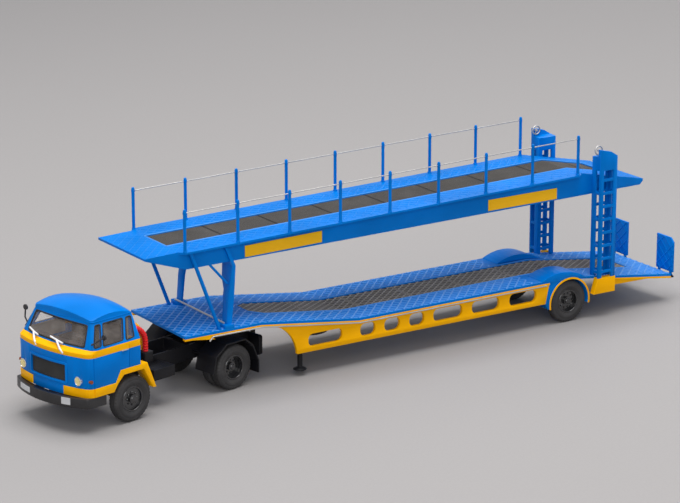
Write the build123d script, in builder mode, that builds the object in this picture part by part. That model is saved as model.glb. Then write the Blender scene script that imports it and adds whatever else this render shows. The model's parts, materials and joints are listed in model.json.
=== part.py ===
import os
from math import asin, degrees, sqrt

from build123d import *

# Articulated car transporter, a 1:43 size display model.
# X runs forward and Z up; lengths are measured from the kingpin at x = 0 and from the floor.
# The finished pieces are moved at the end so that the origin is under the middle of the model.

# Wheels, one size all round
tyre_radius = 12.2
tyre_width = 6.2
tyre_shoulder = 1.5
rim_radius = 6.9
rim_wall = 0.9
rim_disc = 1.0
hub_radius = 2.3
hub_length = 1.5
axle_radius = 0.9
seat_gap = 0.02
running_gap = 0.08
twin_gap = 1.4
front_track_out = 27.8
drive_track_out = 28.1
trailer_track_out = 28.5

# Places of the axles
front_axle_x = 67.5
drive_axle_x = -4.0
trailer_axle_x = -231.0
tractor_turn = 12.6

# Lower deck
deck_half = 29.0
deck_plate = 1.4
deck_front_x = 21.5
neck_end_x = -25.2
slope_end_x = -87.5
deck_rear_x = -305.6
neck_z = 35.2
deck_z = 27.0
deck_rear_z = 16.7
well_half = 11.5
well_depth = 0.9
well_front_x = -30.5
well_rear_x = -287.0
well_rim = 0.4
well_cut = 5.0
well_cut_length = 7.0
grating_plate = 0.5
grating_gap = 0.15
panel_pitch = 34.7

# Side frames
frame_in = 26.4
frame_out = 28.5
lip_height = 1.1
wedge_front_x = 20.8
wedge_rear_x = 3.1
wedge_back_x = 7.8
wedge_front_z = 33.2
wedge_rear_z = 30.9
frame_front_x = -31.0
frame_arc_x = -42.5
frame_arc_z = 25.8
frame_foot_x = -47.8
frame_bottom_z = 13.4
frame_rear_x = -214.3
frame_rear_lean = 2.4
tail_web_x = -289.0
tail_web_drop = 4.4
window_bottom_z = 16.2
window_top_gap = 1.2
window_fillet = 3.0
# each window: front edge, length
window_table = (
    (54.9, 21.8),
    (88.3, 9.9),
    (104.1, 10.2),
    (120.6, 10.0),
    (136.7, 19.7),
    (162.9, 18.9),
    (188.8, 18.9),
)

# Wheel arches of the trailer
arch_radius = 13.4
arch_lip = 1.0
arch_lip_proud = 0.3
arch_foot_z = 9.6
arch_in = 14.6
arch_plate = 1.0
arch_web_out = 28.5
arch_web_front_x = -216.2
arch_bore_gap = 0.6
hump_front_x = -211.2
hump_crest_x = -226.4
hump_crest_z = 30.4
hump_rear_x = -242.0

# Axle carriers of the trailer
hanger_y = 18.0
hanger_width = 2.4
hanger_length = 9.0
hanger_drop = 2.2

# Neck under the gooseneck
neck_half = 12.0
neck_depth = 2.2
neck_front_x = 14.0
neck_rear_x = -20.0
kingpin_radius = 1.6
kingpin_length = 3.4
kingpin_head_radius = 2.3
kingpin_head = 0.8

# Landing legs
leg_x = -52.0
leg_y = 24.3
leg_radius = 1.4
leg_foot_radius = 3.7
leg_foot_height = 1.7
leg_bottom_z = 3.1
leg_sleeve_radius = 2.0
leg_sleeve_length = 6.0

# Spare wheel, lying flat under the deck
spare_x = -72.0
spare_z = 18.4
stem_radius = 1.8
stem_plate_radius = 5.0
stem_plate = 1.2

# Front posts, their feet and stays
post_out = 26.4
post_plate = 1.2
post_foot_height = 2.0
post_foot_front_x = -5.3
post_foot_rear_x = -8.4
post_bend_front_x = -6.4
post_bend_rear_x = -10.0
post_bend_z = 51.5
post_knee_front_x = -9.2
post_knee_rear_x = -11.1
post_knee_z = 68.2
post_top_front_x = -4.4
post_top_rear_x = -6.6
# inner edge of the post's web: distance from the middle, height
web_table = (
    (21.7, 36.0),
    (20.6, 54.8),
    (17.4, 60.0),
    (14.6, 73.0),
)
foot_front_x = -2.8
foot_rear_x = -8.8
foot_in = 20.6
stay_radius = 1.0
stay_y = 26.6
stay_top_x = 16.6
stay_foot_x = -0.6
knee_radius = 0.7
knee_y = 24.3
knee_top_x = 3.6
knee_foot_x = -7.2
knee_foot_z = 58.5
cross_rod_radius = 0.55
cross_rod_x = -4.0
cross_rod_half = 25.6

# Upper deck
top_half = 25.0
top_flange_half = 28.4
top_plate = 1.2
top_front_x = 42.4
top_nose_x = 17.0
top_bend_x = -240.0
top_rear_x = -285.5
top_front_z = 79.7
top_nose_z = 80.6
top_bend_z = 85.7
top_rear_z = 76.2
flange_front_x = 22.5
flange_rear_x = -240.2
flange_run = 2.5
beam_plate = 1.4
beam_nose_x = 18.2
beam_nose_z = 70.4
beam_mid_x = -103.0
beam_mid_z = 72.6
beam_rear_x = -283.4
beam_rear_z = 72.9
top_well_front_x = 21.7
top_well_rear_x = -269.0
rib_width = 1.4
rib_depth = 3.2
rib_count = 7

# Rail posts and wires of the upper deck
rail_count = 9
rail_first_x = 19.8
rail_pitch = 32.0
rail_y = 27.2
rail_radius = 0.85
rail_height = 23.0
rail_wire_radius = 0.3
rail_wire_drop = 2.0

# Plain name boards on the beams
board_plate = 0.3
board_height = 6.3
board_lift = 0.4
# each board: front end, length
board_table = (
    (-17.6, 48.1),
    (-175.5, 47.7),
)

# Towers
tower_front_x = -248.3
tower_rear_x = -260.3
tower_in = top_half
tower_out = 32.7
tower_wall = 1.2
tower_side_post = 2.6
tower_face_post = 3.3
tower_cap_z = 87.0
tower_peak_z = 99.4
tower_shoulder_x = -256.0
tower_shoulder_z = 97.6
tower_back_z = 94.9
tower_inner_z = 94.6
tower_ridge_z = 95.1
tower_ridge = 2.3
rung_first_z = 26.7
rung_pitch = 7.7
rung_count = 8
rung_height = 1.6
foot_plate_front_x = -245.6
foot_plate_lean = 2.7
foot_plate_rear_x = -261.0
foot_plate_top_z = 23.9
foot_plate_bottom_z = 14.7
pulley_radius = 3.2
pulley_width = 1.6
pulley_groove = 0.7
pulley_pin_radius = 0.7
pulley_x = -249.2
pulley_z = 98.6
pulley_gap = 0.3

# Silver edge wires of the lower deck
wire_radius = 0.4
wire_front_x = 4.8
wire_curl = 2.2

# Rear ramps
ramp_in = 13.6
ramp_out = 28.6
ramp_plate = 1.1
ramp_height = 20.6
ramp_corner = 2.6
ramp_gap = 0.5
hinge_radius = 0.6
lug_radius = 1.3
lug_width = 1.6
hinge_drop = 1.3

# Tractor chassis
rail_out_b = 10.0
chassis_plate = 1.2
chassis_top_z = 24.6
chassis_bottom_z = 16.4
chassis_front_x = 95.0
chassis_rear_x = -33.0
cross_table_shares = (0.1, 0.34, 0.56, 0.76)
cross_length = 2.4
coupling_length = 22.0
coupling_half = 9.4
coupling_plate = 1.6
pedestal_width = 3.2
tail_half = 19.0
tail_length = 2.4
tail_height = 11.0
tail_low_z = 10.6
axle_beam_half = 1.9
spring_length = 22.0
spring_height = 1.6
spring_width = 2.2

# Battery box and tank beside the chassis
box_front_x = 48.4
box_rear_x = 33.6
box_out = 22.4
box_in = 11.0
box_top_z = 21.6
box_bottom_z = 15.8
box_fillet = 0.5
box_bracket = 2.4
tank_radius = 3.6
tank_gap = 1.4

# Mudguards over the drive wheels
guard_in = 14.4
guard_out = 28.6
guard_plate = 0.7
# each corner: ahead of the drive axle, height
guard_table = (
    (15.6, 12.0),
    (13.4, 20.6),
    (6.0, 26.0),
    (-7.2, 26.0),
    (-12.4, 21.8),
    (-16.6, 12.4),
    (-16.6, 5.6),
)
guard_stay_radius = 0.7

# Cab
cab_wall = 0.9
cab_half = 28.2
cab_rear_x = 62.6
cab_front_x = 96.2
cab_nose = 5.2
cab_corner = 5.0
skirt_low_z = 19.4
skirt_z = 24.0
skirt_half = 12.0
belt_low_z = 40.2
belt_edge_z = 42.4
belt_z = 43.9
sill_front_x = 93.7
sill_nose = 4.0
sill_corner = 4.0
roof_edge_z = 56.6
roof_half = 22.4
roof_rear_x = 63.2
roof_front_x = 89.7
roof_nose = 1.2
roof_corner = 2.0
roof_crown_z = 62.2
roof_fall_along = 2.4
roof_fall_across = 2.8
floor_plate = 1.2
door_line = 0.3
door_line_depth = 0.3
door_front_x = 93.9
door_rear_x = 70.2

# Cab openings and panes
glass_plate = 0.4
glass_inset = 0.25
glass_gap = 0.03
screen_low_half = 22.4
screen_top_half = 20.3
screen_low_z = 44.5
screen_top_z = 55.3
side_low_z = 45.1
side_top_z = 55.2
pane_fillet = 0.8
back_half = 8.0
back_low_z = 46.0
back_top_z = 54.0
# each side pane: rear and front at its foot, front and rear at its head
side_pane_table = (
    (73.7, 87.0, 83.2, 70.0),
    (88.4, 92.6, 88.4, 85.0),
    (66.2, 71.7, 67.8, 64.4),
)

# Wings round the front wheels
wing_in = 21.0
wing_proud = 0.3
wing_join_x = 82.0
wing_rise_x = 79.6
wing_front_x = 76.2
wing_top_z = 30.0
wing_rear_x = 58.3
wing_tip_x = 52.4
wing_tip_z = 15.6
wing_inner_x = 54.4
arch_rear_x = 60.6
arch_front_x = 74.2
arch_top_z = 27.1
arch_bend_x = 78.2
arch_bend_z = 23.4
arch_low_x = 81.0

# Cab front
grille_half = 14.6
grille_low_z = 24.7
grille_top_z = 36.4
grille_rim = 1.4
grille_depth = 0.8
grille_proud = 0.3
grille_fillet = 1.6
grille_plate = 0.5
lamp_y = 21.5
lamp_z = 27.9
lamp_radius = 2.5
lamp_rear_x = 96.4
lamp_front_x = 100.2
lamp_dome = 0.9
bumper_low_z = 14.0
bumper_high_z = 19.4
bumper_plate = 1.6
bumper_front_x = 98.4
bumper_nose = 7.0
bumper_end_x = 86.0
bumper_corner = 2.4
# each blank plate: right edge, left edge, foot, head
plate_table = (
    (-20.5, -10.0, 15.8, 18.6),
    (13.9, 19.0, 15.5, 19.1),
)
indicator_radius = 0.9
indicator_z = 27.9
indicator_x = 95.5
indicator_in = 25.0
handle_length = 4.6
handle_height = 0.7
handle_x = 73.3
handle_z = 39.9

# Mirrors and wipers
mirror_plate = 0.8
mirror_radius = 1.5
mirror_arm_radius = 0.4
# each mirror: side, then the places of its foot, elbow and head
mirror_table = (
    (1, (92.4, 25.2, 46.9), (94.2, 27.2, 47.3), (88.5, 30.2, 50.5)),
    (-1, (91.6, 25.4, 45.8), (92.2, 27.4, 50.0), (92.0, 26.9, 55.2)),
)
wiper_radius = 0.45
# each wiper: the places of its foot, elbow and head, and of its blade's ends
wiper_table = (
    ((100.3, 11.6, 41.2), (101.0, 9.4, 42.9), (97.6, 4.3, 45.6), (97.0, 8.9, 45.7), (97.9, -0.4, 45.6)),
    ((100.6, -8.8, 41.2), (100.3, -11.0, 42.9), (96.4, -15.0, 45.7), (97.1, -10.7, 45.7), (95.4, -19.5, 45.7)),
)

# Inside the cab
seat_half = 20.0
seat_front_x = 76.0
seat_rear_x = 64.8
seat_top_z = 38.0
seat_back_z = 50.0
seat_back = 2.4
dash_depth = 6.0
dash_top_z = 43.6
dash_height = 6.0
steer_radius = 4.6
steer_ring = 0.45
steer_x = 84.6
steer_y = 10.5
steer_z = 44.6
steer_lean_share = 0.6
steer_foot_x = 92.0
steer_foot_z = 40.4
column_radius = 0.6

# Air lines behind the cab
hose_radius = 1.5
hose_bend = 9.0
hose_low_x = 47.2
hose_foot_z = 30.4
hose_block_out = 17.6
# each line: name, across, height at the cab
hose_table = (
    ("red_air_line", 14.6, 44.4),
    ("yellow_air_line", 11.2, 46.0),
)

overrun = 5.0


def side_plane(y):
    """A plane across Y at y, drawn in X forward and Z up."""
    return Plane(origin=(0, y, 0), x_dir=(1, 0, 0), z_dir=(0, -1, 0))


def front_plane(x):
    """A plane across X at x, drawn in Y and Z up."""
    return Plane(origin=(x, 0, 0), x_dir=(0, 1, 0), z_dir=(1, 0, 0))


def deck_top(x):
    """Height of the lower deck's top at x."""
    if x >= neck_end_x:
        return neck_z
    if x >= slope_end_x:
        share = (neck_end_x - x) / (neck_end_x - slope_end_x)
        return neck_z + (deck_z - neck_z) * share
    if x >= trailer_axle_x:
        return deck_z
    share = (trailer_axle_x - x) / (trailer_axle_x - deck_rear_x)
    return deck_z + (deck_rear_z - deck_z) * share


def upper_top(x):
    """Height of the upper deck's top at x."""
    if x >= top_nose_x:
        share = (top_front_x - x) / (top_front_x - top_nose_x)
        return top_front_z + (top_nose_z - top_front_z) * share
    if x >= top_bend_x:
        share = (top_nose_x - x) / (top_nose_x - top_bend_x)
        return top_nose_z + (top_bend_z - top_nose_z) * share
    share = (top_bend_x - x) / (top_bend_x - top_rear_x)
    return top_bend_z + (top_rear_z - top_bend_z) * share


def deck_band(front, rear, above, below):
    """Outline of a band that follows the lower deck between two places, over and under its top."""
    bends = [x for x in (neck_end_x, slope_end_x, trailer_axle_x) if rear < x < front]
    places = [front] + bends + [rear]
    upper = [(x, deck_top(x) - above) for x in places]
    lower = [(x, deck_top(x) - below) for x in places]
    return upper + lower[::-1]


def upper_band(front, rear, above, below):
    """Outline of a band that follows the upper deck between two places."""
    bends = [x for x in (top_nose_x, top_bend_x) if rear < x < front]
    places = [front] + bends + [rear]
    upper = [(x, upper_top(x) - above) for x in places]
    lower = [(x, upper_top(x) - below) for x in places]
    return upper + lower[::-1]


def slab(outline, y_low, y_high):
    """A side-view outline made solid between two values of y."""
    with BuildPart() as made:
        with BuildSketch(side_plane(y_high)):
            with BuildLine():
                Polyline(*outline, close=True)
            make_face()
        extrude(amount=y_high - y_low)
    return made.part


def rod(start, end, radius):
    """A straight round bar between two points."""
    with BuildPart() as made:
        with BuildLine() as run:
            Line(start, end)
        with BuildSketch(Plane(origin=run.line @ 0, z_dir=run.line % 0)):
            Circle(radius)
        sweep()
    return made.part


def thick_line(points, plate):
    """Outline of a plate that follows a side-view line, its inner face on the line."""
    normals = []
    for (x0, z0), (x1, z1) in zip(points, points[1:]):
        run = sqrt((x1 - x0) ** 2 + (z1 - z0) ** 2)
        normals.append(((z1 - z0) / run, (x0 - x1) / run))
    pairs = zip([normals[0]] + normals, normals + [normals[-1]])
    outer = []
    for (x, z), (one, two) in zip(points, pairs):
        share = plate / (1 + one[0] * two[0] + one[1] * two[1])
        outer.append((x + (one[0] + two[0]) * share, z + (one[1] + two[1]) * share))
    return list(points) + outer[::-1]


# Wheels
def tyre_solids(axle_x, stations):
    """Tyres on one axle, each centred at a station of y."""
    half = tyre_width / 2
    bead = half - tyre_shoulder / 2
    with BuildPart() as made:
        with BuildSketch(Plane(origin=(axle_x, 0, tyre_radius))):
            for y in stations:
                with BuildLine():
                    Polyline(
                        (rim_radius, y - bead),
                        (rim_radius + tyre_shoulder, y - half),
                        (tyre_radius - tyre_shoulder, y - half),
                        (tyre_radius, y - half + tyre_shoulder),
                        (tyre_radius, y + half - tyre_shoulder),
                        (tyre_radius - tyre_shoulder, y + half),
                        (rim_radius + tyre_shoulder, y + half),
                        (rim_radius, y + bead),
                        close=True,
                    )
                make_face()
        revolve(axis=Axis((axle_x, 0, tyre_radius), (0, 1, 0)))
    return made.part


def rim_solids(axle_x, stations, dish):
    """Rims on one axle; each station is the tyre's middle and the side that the dish opens to."""
    seat = rim_radius - seat_gap
    bore = axle_radius + seat_gap
    half = tyre_width / 2 - tyre_shoulder / 2
    with BuildPart() as made:
        with BuildSketch(Plane(origin=(axle_x, 0, tyre_radius))):
            for y, side in stations:
                disc_out = y + side * (half - dish)
                disc_in = disc_out - side * rim_disc
                cap = disc_out + side * hub_length
                with BuildLine():
                    Polyline(
                        (bore, disc_in),
                        (bore, cap),
                        (hub_radius, cap),
                        (hub_radius, disc_out),
                        (seat - rim_wall, disc_out),
                        (seat - rim_wall, y + side * half),
                        (seat, y + side * half),
                        (seat, y - side * half),
                        (seat - rim_wall, y - side * half),
                        (seat - rim_wall, disc_in),
                        close=True,
                    )
                make_face()
        revolve(axis=Axis((axle_x, 0, tyre_radius), (0, 1, 0)))
    return made.part


def axle_solid(axle_x, out):
    """The steel pin that carries the wheels of one axle."""
    end = out - tyre_shoulder / 2
    with BuildPart() as made:
        with BuildSketch(Plane(origin=(axle_x, -end, tyre_radius), z_dir=(0, 1, 0))):
            Circle(axle_radius)
        extrude(amount=end * 2)
    return made.part


front_y = front_track_out - tyre_width / 2
outer_y = drive_track_out - tyre_width / 2
inner_y = outer_y - tyre_width - twin_gap
trailer_y = trailer_track_out - tyre_width / 2
tractor = {}
trailer = {}
tractor["front_axle"] = axle_solid(front_axle_x, front_track_out)
tractor["front_tyres"] = tyre_solids(front_axle_x, (front_y, -front_y))
tractor["front_rims"] = rim_solids(front_axle_x, ((front_y, 1), (-front_y, -1)), rim_wall)
tractor["drive_axle"] = axle_solid(drive_axle_x, drive_track_out - tyre_width / 2)
tractor["drive_tyres"] = tyre_solids(drive_axle_x, (outer_y, inner_y, -outer_y, -inner_y))
tractor["drive_rims"] = rim_solids(
    drive_axle_x,
    ((outer_y, 1), (inner_y, -1), (-outer_y, -1), (-inner_y, 1)),
    tyre_width / 2,
)
trailer["trailer_axle"] = axle_solid(trailer_axle_x, trailer_track_out)
trailer["trailer_tyres"] = tyre_solids(trailer_axle_x, (trailer_y, -trailer_y))
trailer["trailer_rims"] = rim_solids(trailer_axle_x, ((trailer_y, 1), (-trailer_y, -1)), tyre_width / 3)

# Lower deck, one bent plate with a sunk well along its middle
with BuildPart() as lower_deck:
    with BuildSketch(side_plane(deck_half)):
        with BuildLine():
            Polyline(*deck_band(deck_front_x, deck_rear_x, 0, deck_plate), close=True)
        make_face()
    extrude(amount=deck_half * 2)
    # raised rim round the well
    with BuildSketch(side_plane(well_half + well_rim)):
        with BuildLine():
            Polyline(
                *deck_band(well_front_x + well_rim, well_rear_x - well_rim, -well_rim / 2, deck_plate),
                close=True,
            )
        make_face()
    extrude(amount=(well_half + well_rim) * 2)
    with BuildSketch(side_plane(well_half)):
        with BuildLine():
            Polyline(*deck_band(well_front_x, well_rear_x, -overrun, well_depth), close=True)
        make_face()
    extrude(amount=well_half * 2, mode=Mode.SUBTRACT)
    # the wheels turn in cut-outs under the arches
    for side in (1, -1):
        with BuildSketch(side_plane(deck_half + overrun if side > 0 else -arch_in)):
            with Locations((trailer_axle_x, tyre_radius)):
                Circle(arch_radius + arch_plate)
        extrude(amount=deck_half + overrun - arch_in, mode=Mode.SUBTRACT)


def well_corners(gap):
    """The two cut corners at the well's front end as upright prisms, grown by a gap."""
    with BuildPart() as made:
        with BuildSketch(Plane.XY):
            for side in (1, -1):
                with BuildLine():
                    Polyline(
                        (well_front_x, side * (well_half - well_cut - gap)),
                        (well_front_x, side * well_half),
                        (well_front_x - well_cut_length - gap, side * well_half),
                        close=True,
                    )
                make_face()
        extrude(amount=top_bend_z)
    return made.part


well_end = slab(
    deck_band(well_front_x, well_front_x - well_cut_length, 0, well_depth),
    -well_half,
    well_half,
)
trailer["lower_deck"] = lower_deck.part + (well_end & well_corners(0))


def panels(front, rear, band, pitch):
    """Grating panels laid end to end in a well, with a seam between them."""
    count = int((front - rear) / pitch) + 1
    with BuildPart() as made:
        for i in range(count):
            start = front - grating_gap - i * pitch
            end = max(front - (i + 1) * pitch + grating_gap, rear + grating_gap)
            if start - end < pitch / 10:
                continue
            with BuildSketch(side_plane(well_half - grating_gap)):
                with BuildLine():
                    Polyline(*band(start, end, well_depth - grating_plate, well_depth), close=True)
                make_face()
            extrude(amount=(well_half - grating_gap) * 2)
    return made.part


trailer["lower_grating"] = panels(well_front_x, well_rear_x, deck_band, panel_pitch) - well_corners(
    grating_gap
)


# Side frames, a lip under the deck's edge and a deep web with windows
def side_frame(side):
    lip_low = deck_plate + lip_height
    with BuildPart() as made:
        for front, rear in (
            (deck_front_x, frame_rear_x - frame_rear_lean),
            (foot_plate_front_x - foot_plate_lean - overrun, deck_rear_x),
        ):
            with BuildSketch(side_plane(deck_half if side > 0 else -frame_in)):
                with BuildLine():
                    Polyline(*deck_band(front, rear, deck_plate, lip_low), close=True)
                make_face()
            extrude(amount=deck_half - frame_in)
        with BuildSketch(side_plane(frame_out if side > 0 else -frame_in)):
            with BuildLine():
                top = deck_band(frame_front_x, frame_rear_x - frame_rear_lean, lip_low, lip_low)
                line = top[: len(top) // 2]
                Polyline(*line)
                Line(line[-1], (frame_rear_x, frame_bottom_z))
                Line((frame_rear_x, frame_bottom_z), (frame_foot_x, frame_bottom_z))
                ThreePointArc((frame_foot_x, frame_bottom_z), (frame_arc_x, frame_arc_z), line[0])
            make_face()
            for start, length in window_table:
                front = -start
                rear = front - length
                high = deck_z - lip_low - window_top_gap
                with Locations(((front + rear) / 2, (high + window_bottom_z) / 2)):
                    RectangleRounded(length, high - window_bottom_z, window_fillet, mode=Mode.SUBTRACT)
        extrude(amount=frame_out - frame_in)
        with BuildSketch(side_plane(frame_out if side > 0 else -frame_in)):
            start = foot_plate_front_x - foot_plate_lean - overrun
            with BuildLine():
                Polyline(
                    (start, deck_top(start) - lip_low),
                    (tail_web_x, deck_top(tail_web_x) - lip_low),
                    (start, deck_top(start) - lip_low - tail_web_drop),
                    close=True,
                )
            make_face()
        extrude(amount=frame_out - frame_in)
        # the lip deepens to a wedge under the neck's front corner
        with BuildSketch(side_plane(deck_half if side > 0 else -frame_in)):
            with BuildLine():
                Polyline(
                    (wedge_front_x, neck_z - deck_plate),
                    (wedge_front_x, wedge_front_z),
                    (wedge_rear_x, wedge_rear_z),
                    (wedge_back_x, neck_z - deck_plate),
                    close=True,
                )
            make_face()
        extrude(amount=deck_half - frame_in)
    return made.part


trailer["side_frames"] = side_frame(1) + side_frame(-1)


# Wheel arches, a hump over the wheel with a lip round its mouth
def wheel_arch(side):
    with BuildPart() as made:
        with BuildSketch(side_plane(deck_half if side > 0 else -arch_in)):
            with BuildLine():
                ThreePointArc(
                    (hump_front_x, deck_top(hump_front_x)),
                    (hump_crest_x, hump_crest_z),
                    (hump_rear_x, deck_top(hump_rear_x)),
                )
                Polyline(
                    (hump_rear_x, deck_top(hump_rear_x)),
                    (trailer_axle_x, deck_top(trailer_axle_x)),
                    (hump_front_x, deck_top(hump_front_x)),
                )
            make_face()
            with Locations((trailer_axle_x, tyre_radius)):
                Circle(arch_radius + arch_plate)
            with Locations((trailer_axle_x, tyre_radius)):
                Circle(arch_radius, mode=Mode.SUBTRACT)
            with Locations((trailer_axle_x, arch_foot_z - overrun * 4)):
                Rectangle(arch_radius * 4, overrun * 8, mode=Mode.SUBTRACT)
        extrude(amount=deck_half - arch_in)
        with BuildSketch(side_plane(arch_in + arch_plate if side > 0 else -arch_in)):
            with Locations((trailer_axle_x, tyre_radius)):
                Circle(arch_radius + arch_plate)
                Circle(axle_radius + arch_bore_gap, mode=Mode.SUBTRACT)
            with Locations((trailer_axle_x, arch_foot_z - overrun * 4)):
                Rectangle(arch_radius * 4, overrun * 8, mode=Mode.SUBTRACT)
        extrude(amount=arch_plate)
        # a web closes the corner between the arch and the side frame
        with BuildSketch(side_plane(arch_web_out if side > 0 else -(arch_web_out - arch_plate))):
            with BuildLine():
                Polyline(
                    (frame_rear_x - frame_rear_lean, deck_z - deck_plate),
                    (frame_rear_x - frame_rear_lean, deck_z - deck_plate - lip_height),
                    (frame_rear_x, frame_bottom_z),
                    (arch_web_front_x, arch_foot_z),
                    (trailer_axle_x, arch_foot_z),
                    (trailer_axle_x, deck_z - deck_plate),
                    close=True,
                )
            make_face()
            with Locations((trailer_axle_x, tyre_radius)):
                Circle(arch_radius + arch_plate / 2, mode=Mode.SUBTRACT)
        extrude(amount=arch_plate)
    return made.part


with BuildPart() as arch_lips:
    for side in (1, -1):
        with BuildSketch(side_plane(deck_half + arch_lip_proud if side > 0 else -deck_half)):
            with Locations((trailer_axle_x, tyre_radius)):
                Circle(arch_radius + arch_lip)
                Circle(arch_radius, mode=Mode.SUBTRACT)
            with Locations((trailer_axle_x, arch_foot_z - overrun * 4)):
                Rectangle(arch_radius * 4, overrun * 8, mode=Mode.SUBTRACT)
        extrude(amount=arch_lip_proud)
trailer["arch_lips"] = arch_lips.part
trailer["wheel_arches"] = wheel_arch(1) + wheel_arch(-1)

# Axle carriers of the trailer, a block each side with a bore for the axle
with BuildPart() as hangers:
    hanger_low = tyre_radius - axle_radius - hanger_drop
    for side in (1, -1):
        inner = arch_in - hanger_width
        with BuildSketch(side_plane(arch_in - running_gap if side > 0 else -inner)):
            with BuildLine():
                Polyline(
                    (trailer_axle_x + hanger_length, deck_z - deck_plate),
                    (trailer_axle_x, deck_z - deck_plate),
                    (trailer_axle_x - hanger_length, deck_top(trailer_axle_x - hanger_length) - deck_plate),
                    (trailer_axle_x - hanger_drop, hanger_low),
                    (trailer_axle_x + hanger_drop, hanger_low),
                    close=True,
                )
            make_face()
            with Locations((trailer_axle_x, tyre_radius)):
                Circle(axle_radius + running_gap, mode=Mode.SUBTRACT)
        extrude(amount=hanger_width - running_gap)
trailer["axle_hangers"] = hangers.part

# Neck plate under the gooseneck, with the kingpin that the coupling holds
neck_top_z = neck_z - deck_plate
neck_low_z = neck_top_z - neck_depth
with BuildPart() as neck:
    with BuildSketch(Plane.XY.offset(neck_low_z)):
        with Locations(((neck_front_x + neck_rear_x) / 2, 0)):
            RectangleRounded(neck_front_x - neck_rear_x, neck_half * 2, neck_depth)
    extrude(amount=neck_depth)
with BuildPart() as kingpin:
    with BuildSketch(Plane.XY.offset(neck_low_z - kingpin_length)):
        Circle(kingpin_radius)
    extrude(amount=kingpin_length)
    with BuildSketch(Plane.XY.offset(neck_low_z - kingpin_length - kingpin_head)):
        Circle(kingpin_head_radius)
    extrude(amount=kingpin_head)
trailer["kingpin_plate"] = neck.part + kingpin.part

# Everything over the lower deck's underside and over the upper deck's underside, to trim pieces to them
over_deck = slab(deck_band(deck_front_x, deck_rear_x, -neck_z, deck_plate), -deck_half, deck_half)
over_upper = slab(upper_band(top_front_x, top_rear_x, -neck_z, top_plate), -tower_out, tower_out)

# Landing legs, wound up off the floor, each with a flared foot and a sleeve under the deck
sleeve_z = deck_top(leg_x) - deck_plate - leg_sleeve_length
with BuildPart() as legs:
    for side in (1, -1):
        with BuildSketch(Plane(origin=(leg_x, side * leg_y, 0), x_dir=(1, 0, 0), z_dir=(0, -1, 0))):
            with BuildLine():
                Polyline(
                    (0, leg_bottom_z),
                    (leg_foot_radius, leg_bottom_z),
                    (leg_foot_radius, leg_bottom_z + leg_foot_height / 3),
                    (leg_radius, leg_bottom_z + leg_foot_height),
                    (leg_radius, sleeve_z),
                    (leg_sleeve_radius, sleeve_z),
                    (leg_sleeve_radius, neck_z),
                    (0, neck_z),
                    close=True,
                )
            make_face()
        revolve(axis=Axis((leg_x, side * leg_y, 0), (0, 0, 1)))
trailer["landing_legs"] = legs.part - over_deck

# Spare wheel lying flat, hung from the deck by a stem
spare_half = tyre_width / 2
spare_bead = spare_half - tyre_shoulder / 2
with BuildPart() as spare_tyre:
    with BuildSketch(side_plane(0)):
        with BuildLine():
            Polyline(
                (spare_x + rim_radius, spare_z - spare_bead),
                (spare_x + rim_radius + tyre_shoulder, spare_z - spare_half),
                (spare_x + tyre_radius - tyre_shoulder, spare_z - spare_half),
                (spare_x + tyre_radius, spare_z - spare_half + tyre_shoulder),
                (spare_x + tyre_radius, spare_z + spare_half - tyre_shoulder),
                (spare_x + tyre_radius - tyre_shoulder, spare_z + spare_half),
                (spare_x + rim_radius + tyre_shoulder, spare_z + spare_half),
                (spare_x + rim_radius, spare_z + spare_bead),
                close=True,
            )
        make_face()
    revolve(axis=Axis((spare_x, 0, 0), (0, 0, 1)))
trailer["spare_tyre"] = spare_tyre.part

spare_seat = rim_radius - seat_gap
with BuildPart() as spare_rim:
    with BuildSketch(Plane(origin=(spare_x, 0, spare_z - spare_bead))):
        Circle(spare_seat)
        Circle(spare_seat - rim_wall, mode=Mode.SUBTRACT)
    extrude(amount=spare_bead * 2)
    with BuildSketch(Plane(origin=(spare_x, 0, spare_z))):
        Circle(spare_seat)
    extrude(amount=rim_disc)
with BuildPart() as spare_stem:
    with BuildSketch(Plane(origin=(spare_x, 0, spare_z + rim_disc))):
        Circle(stem_radius)
    extrude(amount=neck_z - spare_z)
    with BuildSketch(Plane(origin=(spare_x, 0, deck_z - deck_plate))):
        Circle(stem_plate_radius)
    extrude(amount=neck_z - deck_z)
trailer["spare_rim"] = spare_rim.part + spare_stem.part - over_deck


# Upper beams' lower edge and the room over it
def beam_low(x):
    """Height of the upper beams' lower edge at x."""
    if x >= beam_mid_x:
        share = (beam_nose_x - x) / (beam_nose_x - beam_mid_x)
        return beam_nose_z + (beam_mid_z - beam_nose_z) * share
    share = (beam_mid_x - x) / (beam_mid_x - beam_rear_x)
    return beam_mid_z + (beam_rear_z - beam_mid_z) * share


over_beams = slab(
    (
        (beam_nose_x, beam_nose_z),
        (beam_mid_x, beam_mid_z),
        (beam_mid_x, top_bend_z),
        (beam_nose_x, top_bend_z),
    ),
    -top_half,
    top_half,
)


# Front posts, bent sheets with a strip outside the beam and a web turned in, on pads on the neck's edges
post_low_z = neck_z + post_foot_height
post_front = [
    (post_top_front_x, upper_top(post_top_front_x) - top_plate),
    (post_knee_front_x, post_knee_z),
    (post_bend_front_x, post_bend_z),
    (post_foot_front_x, post_low_z),
]
post_rear = [
    (post_foot_rear_x, post_low_z),
    (post_bend_rear_x, post_bend_z),
    (post_knee_rear_x, post_knee_z),
    (post_top_rear_x, upper_top(post_top_rear_x) - top_plate),
]


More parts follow.
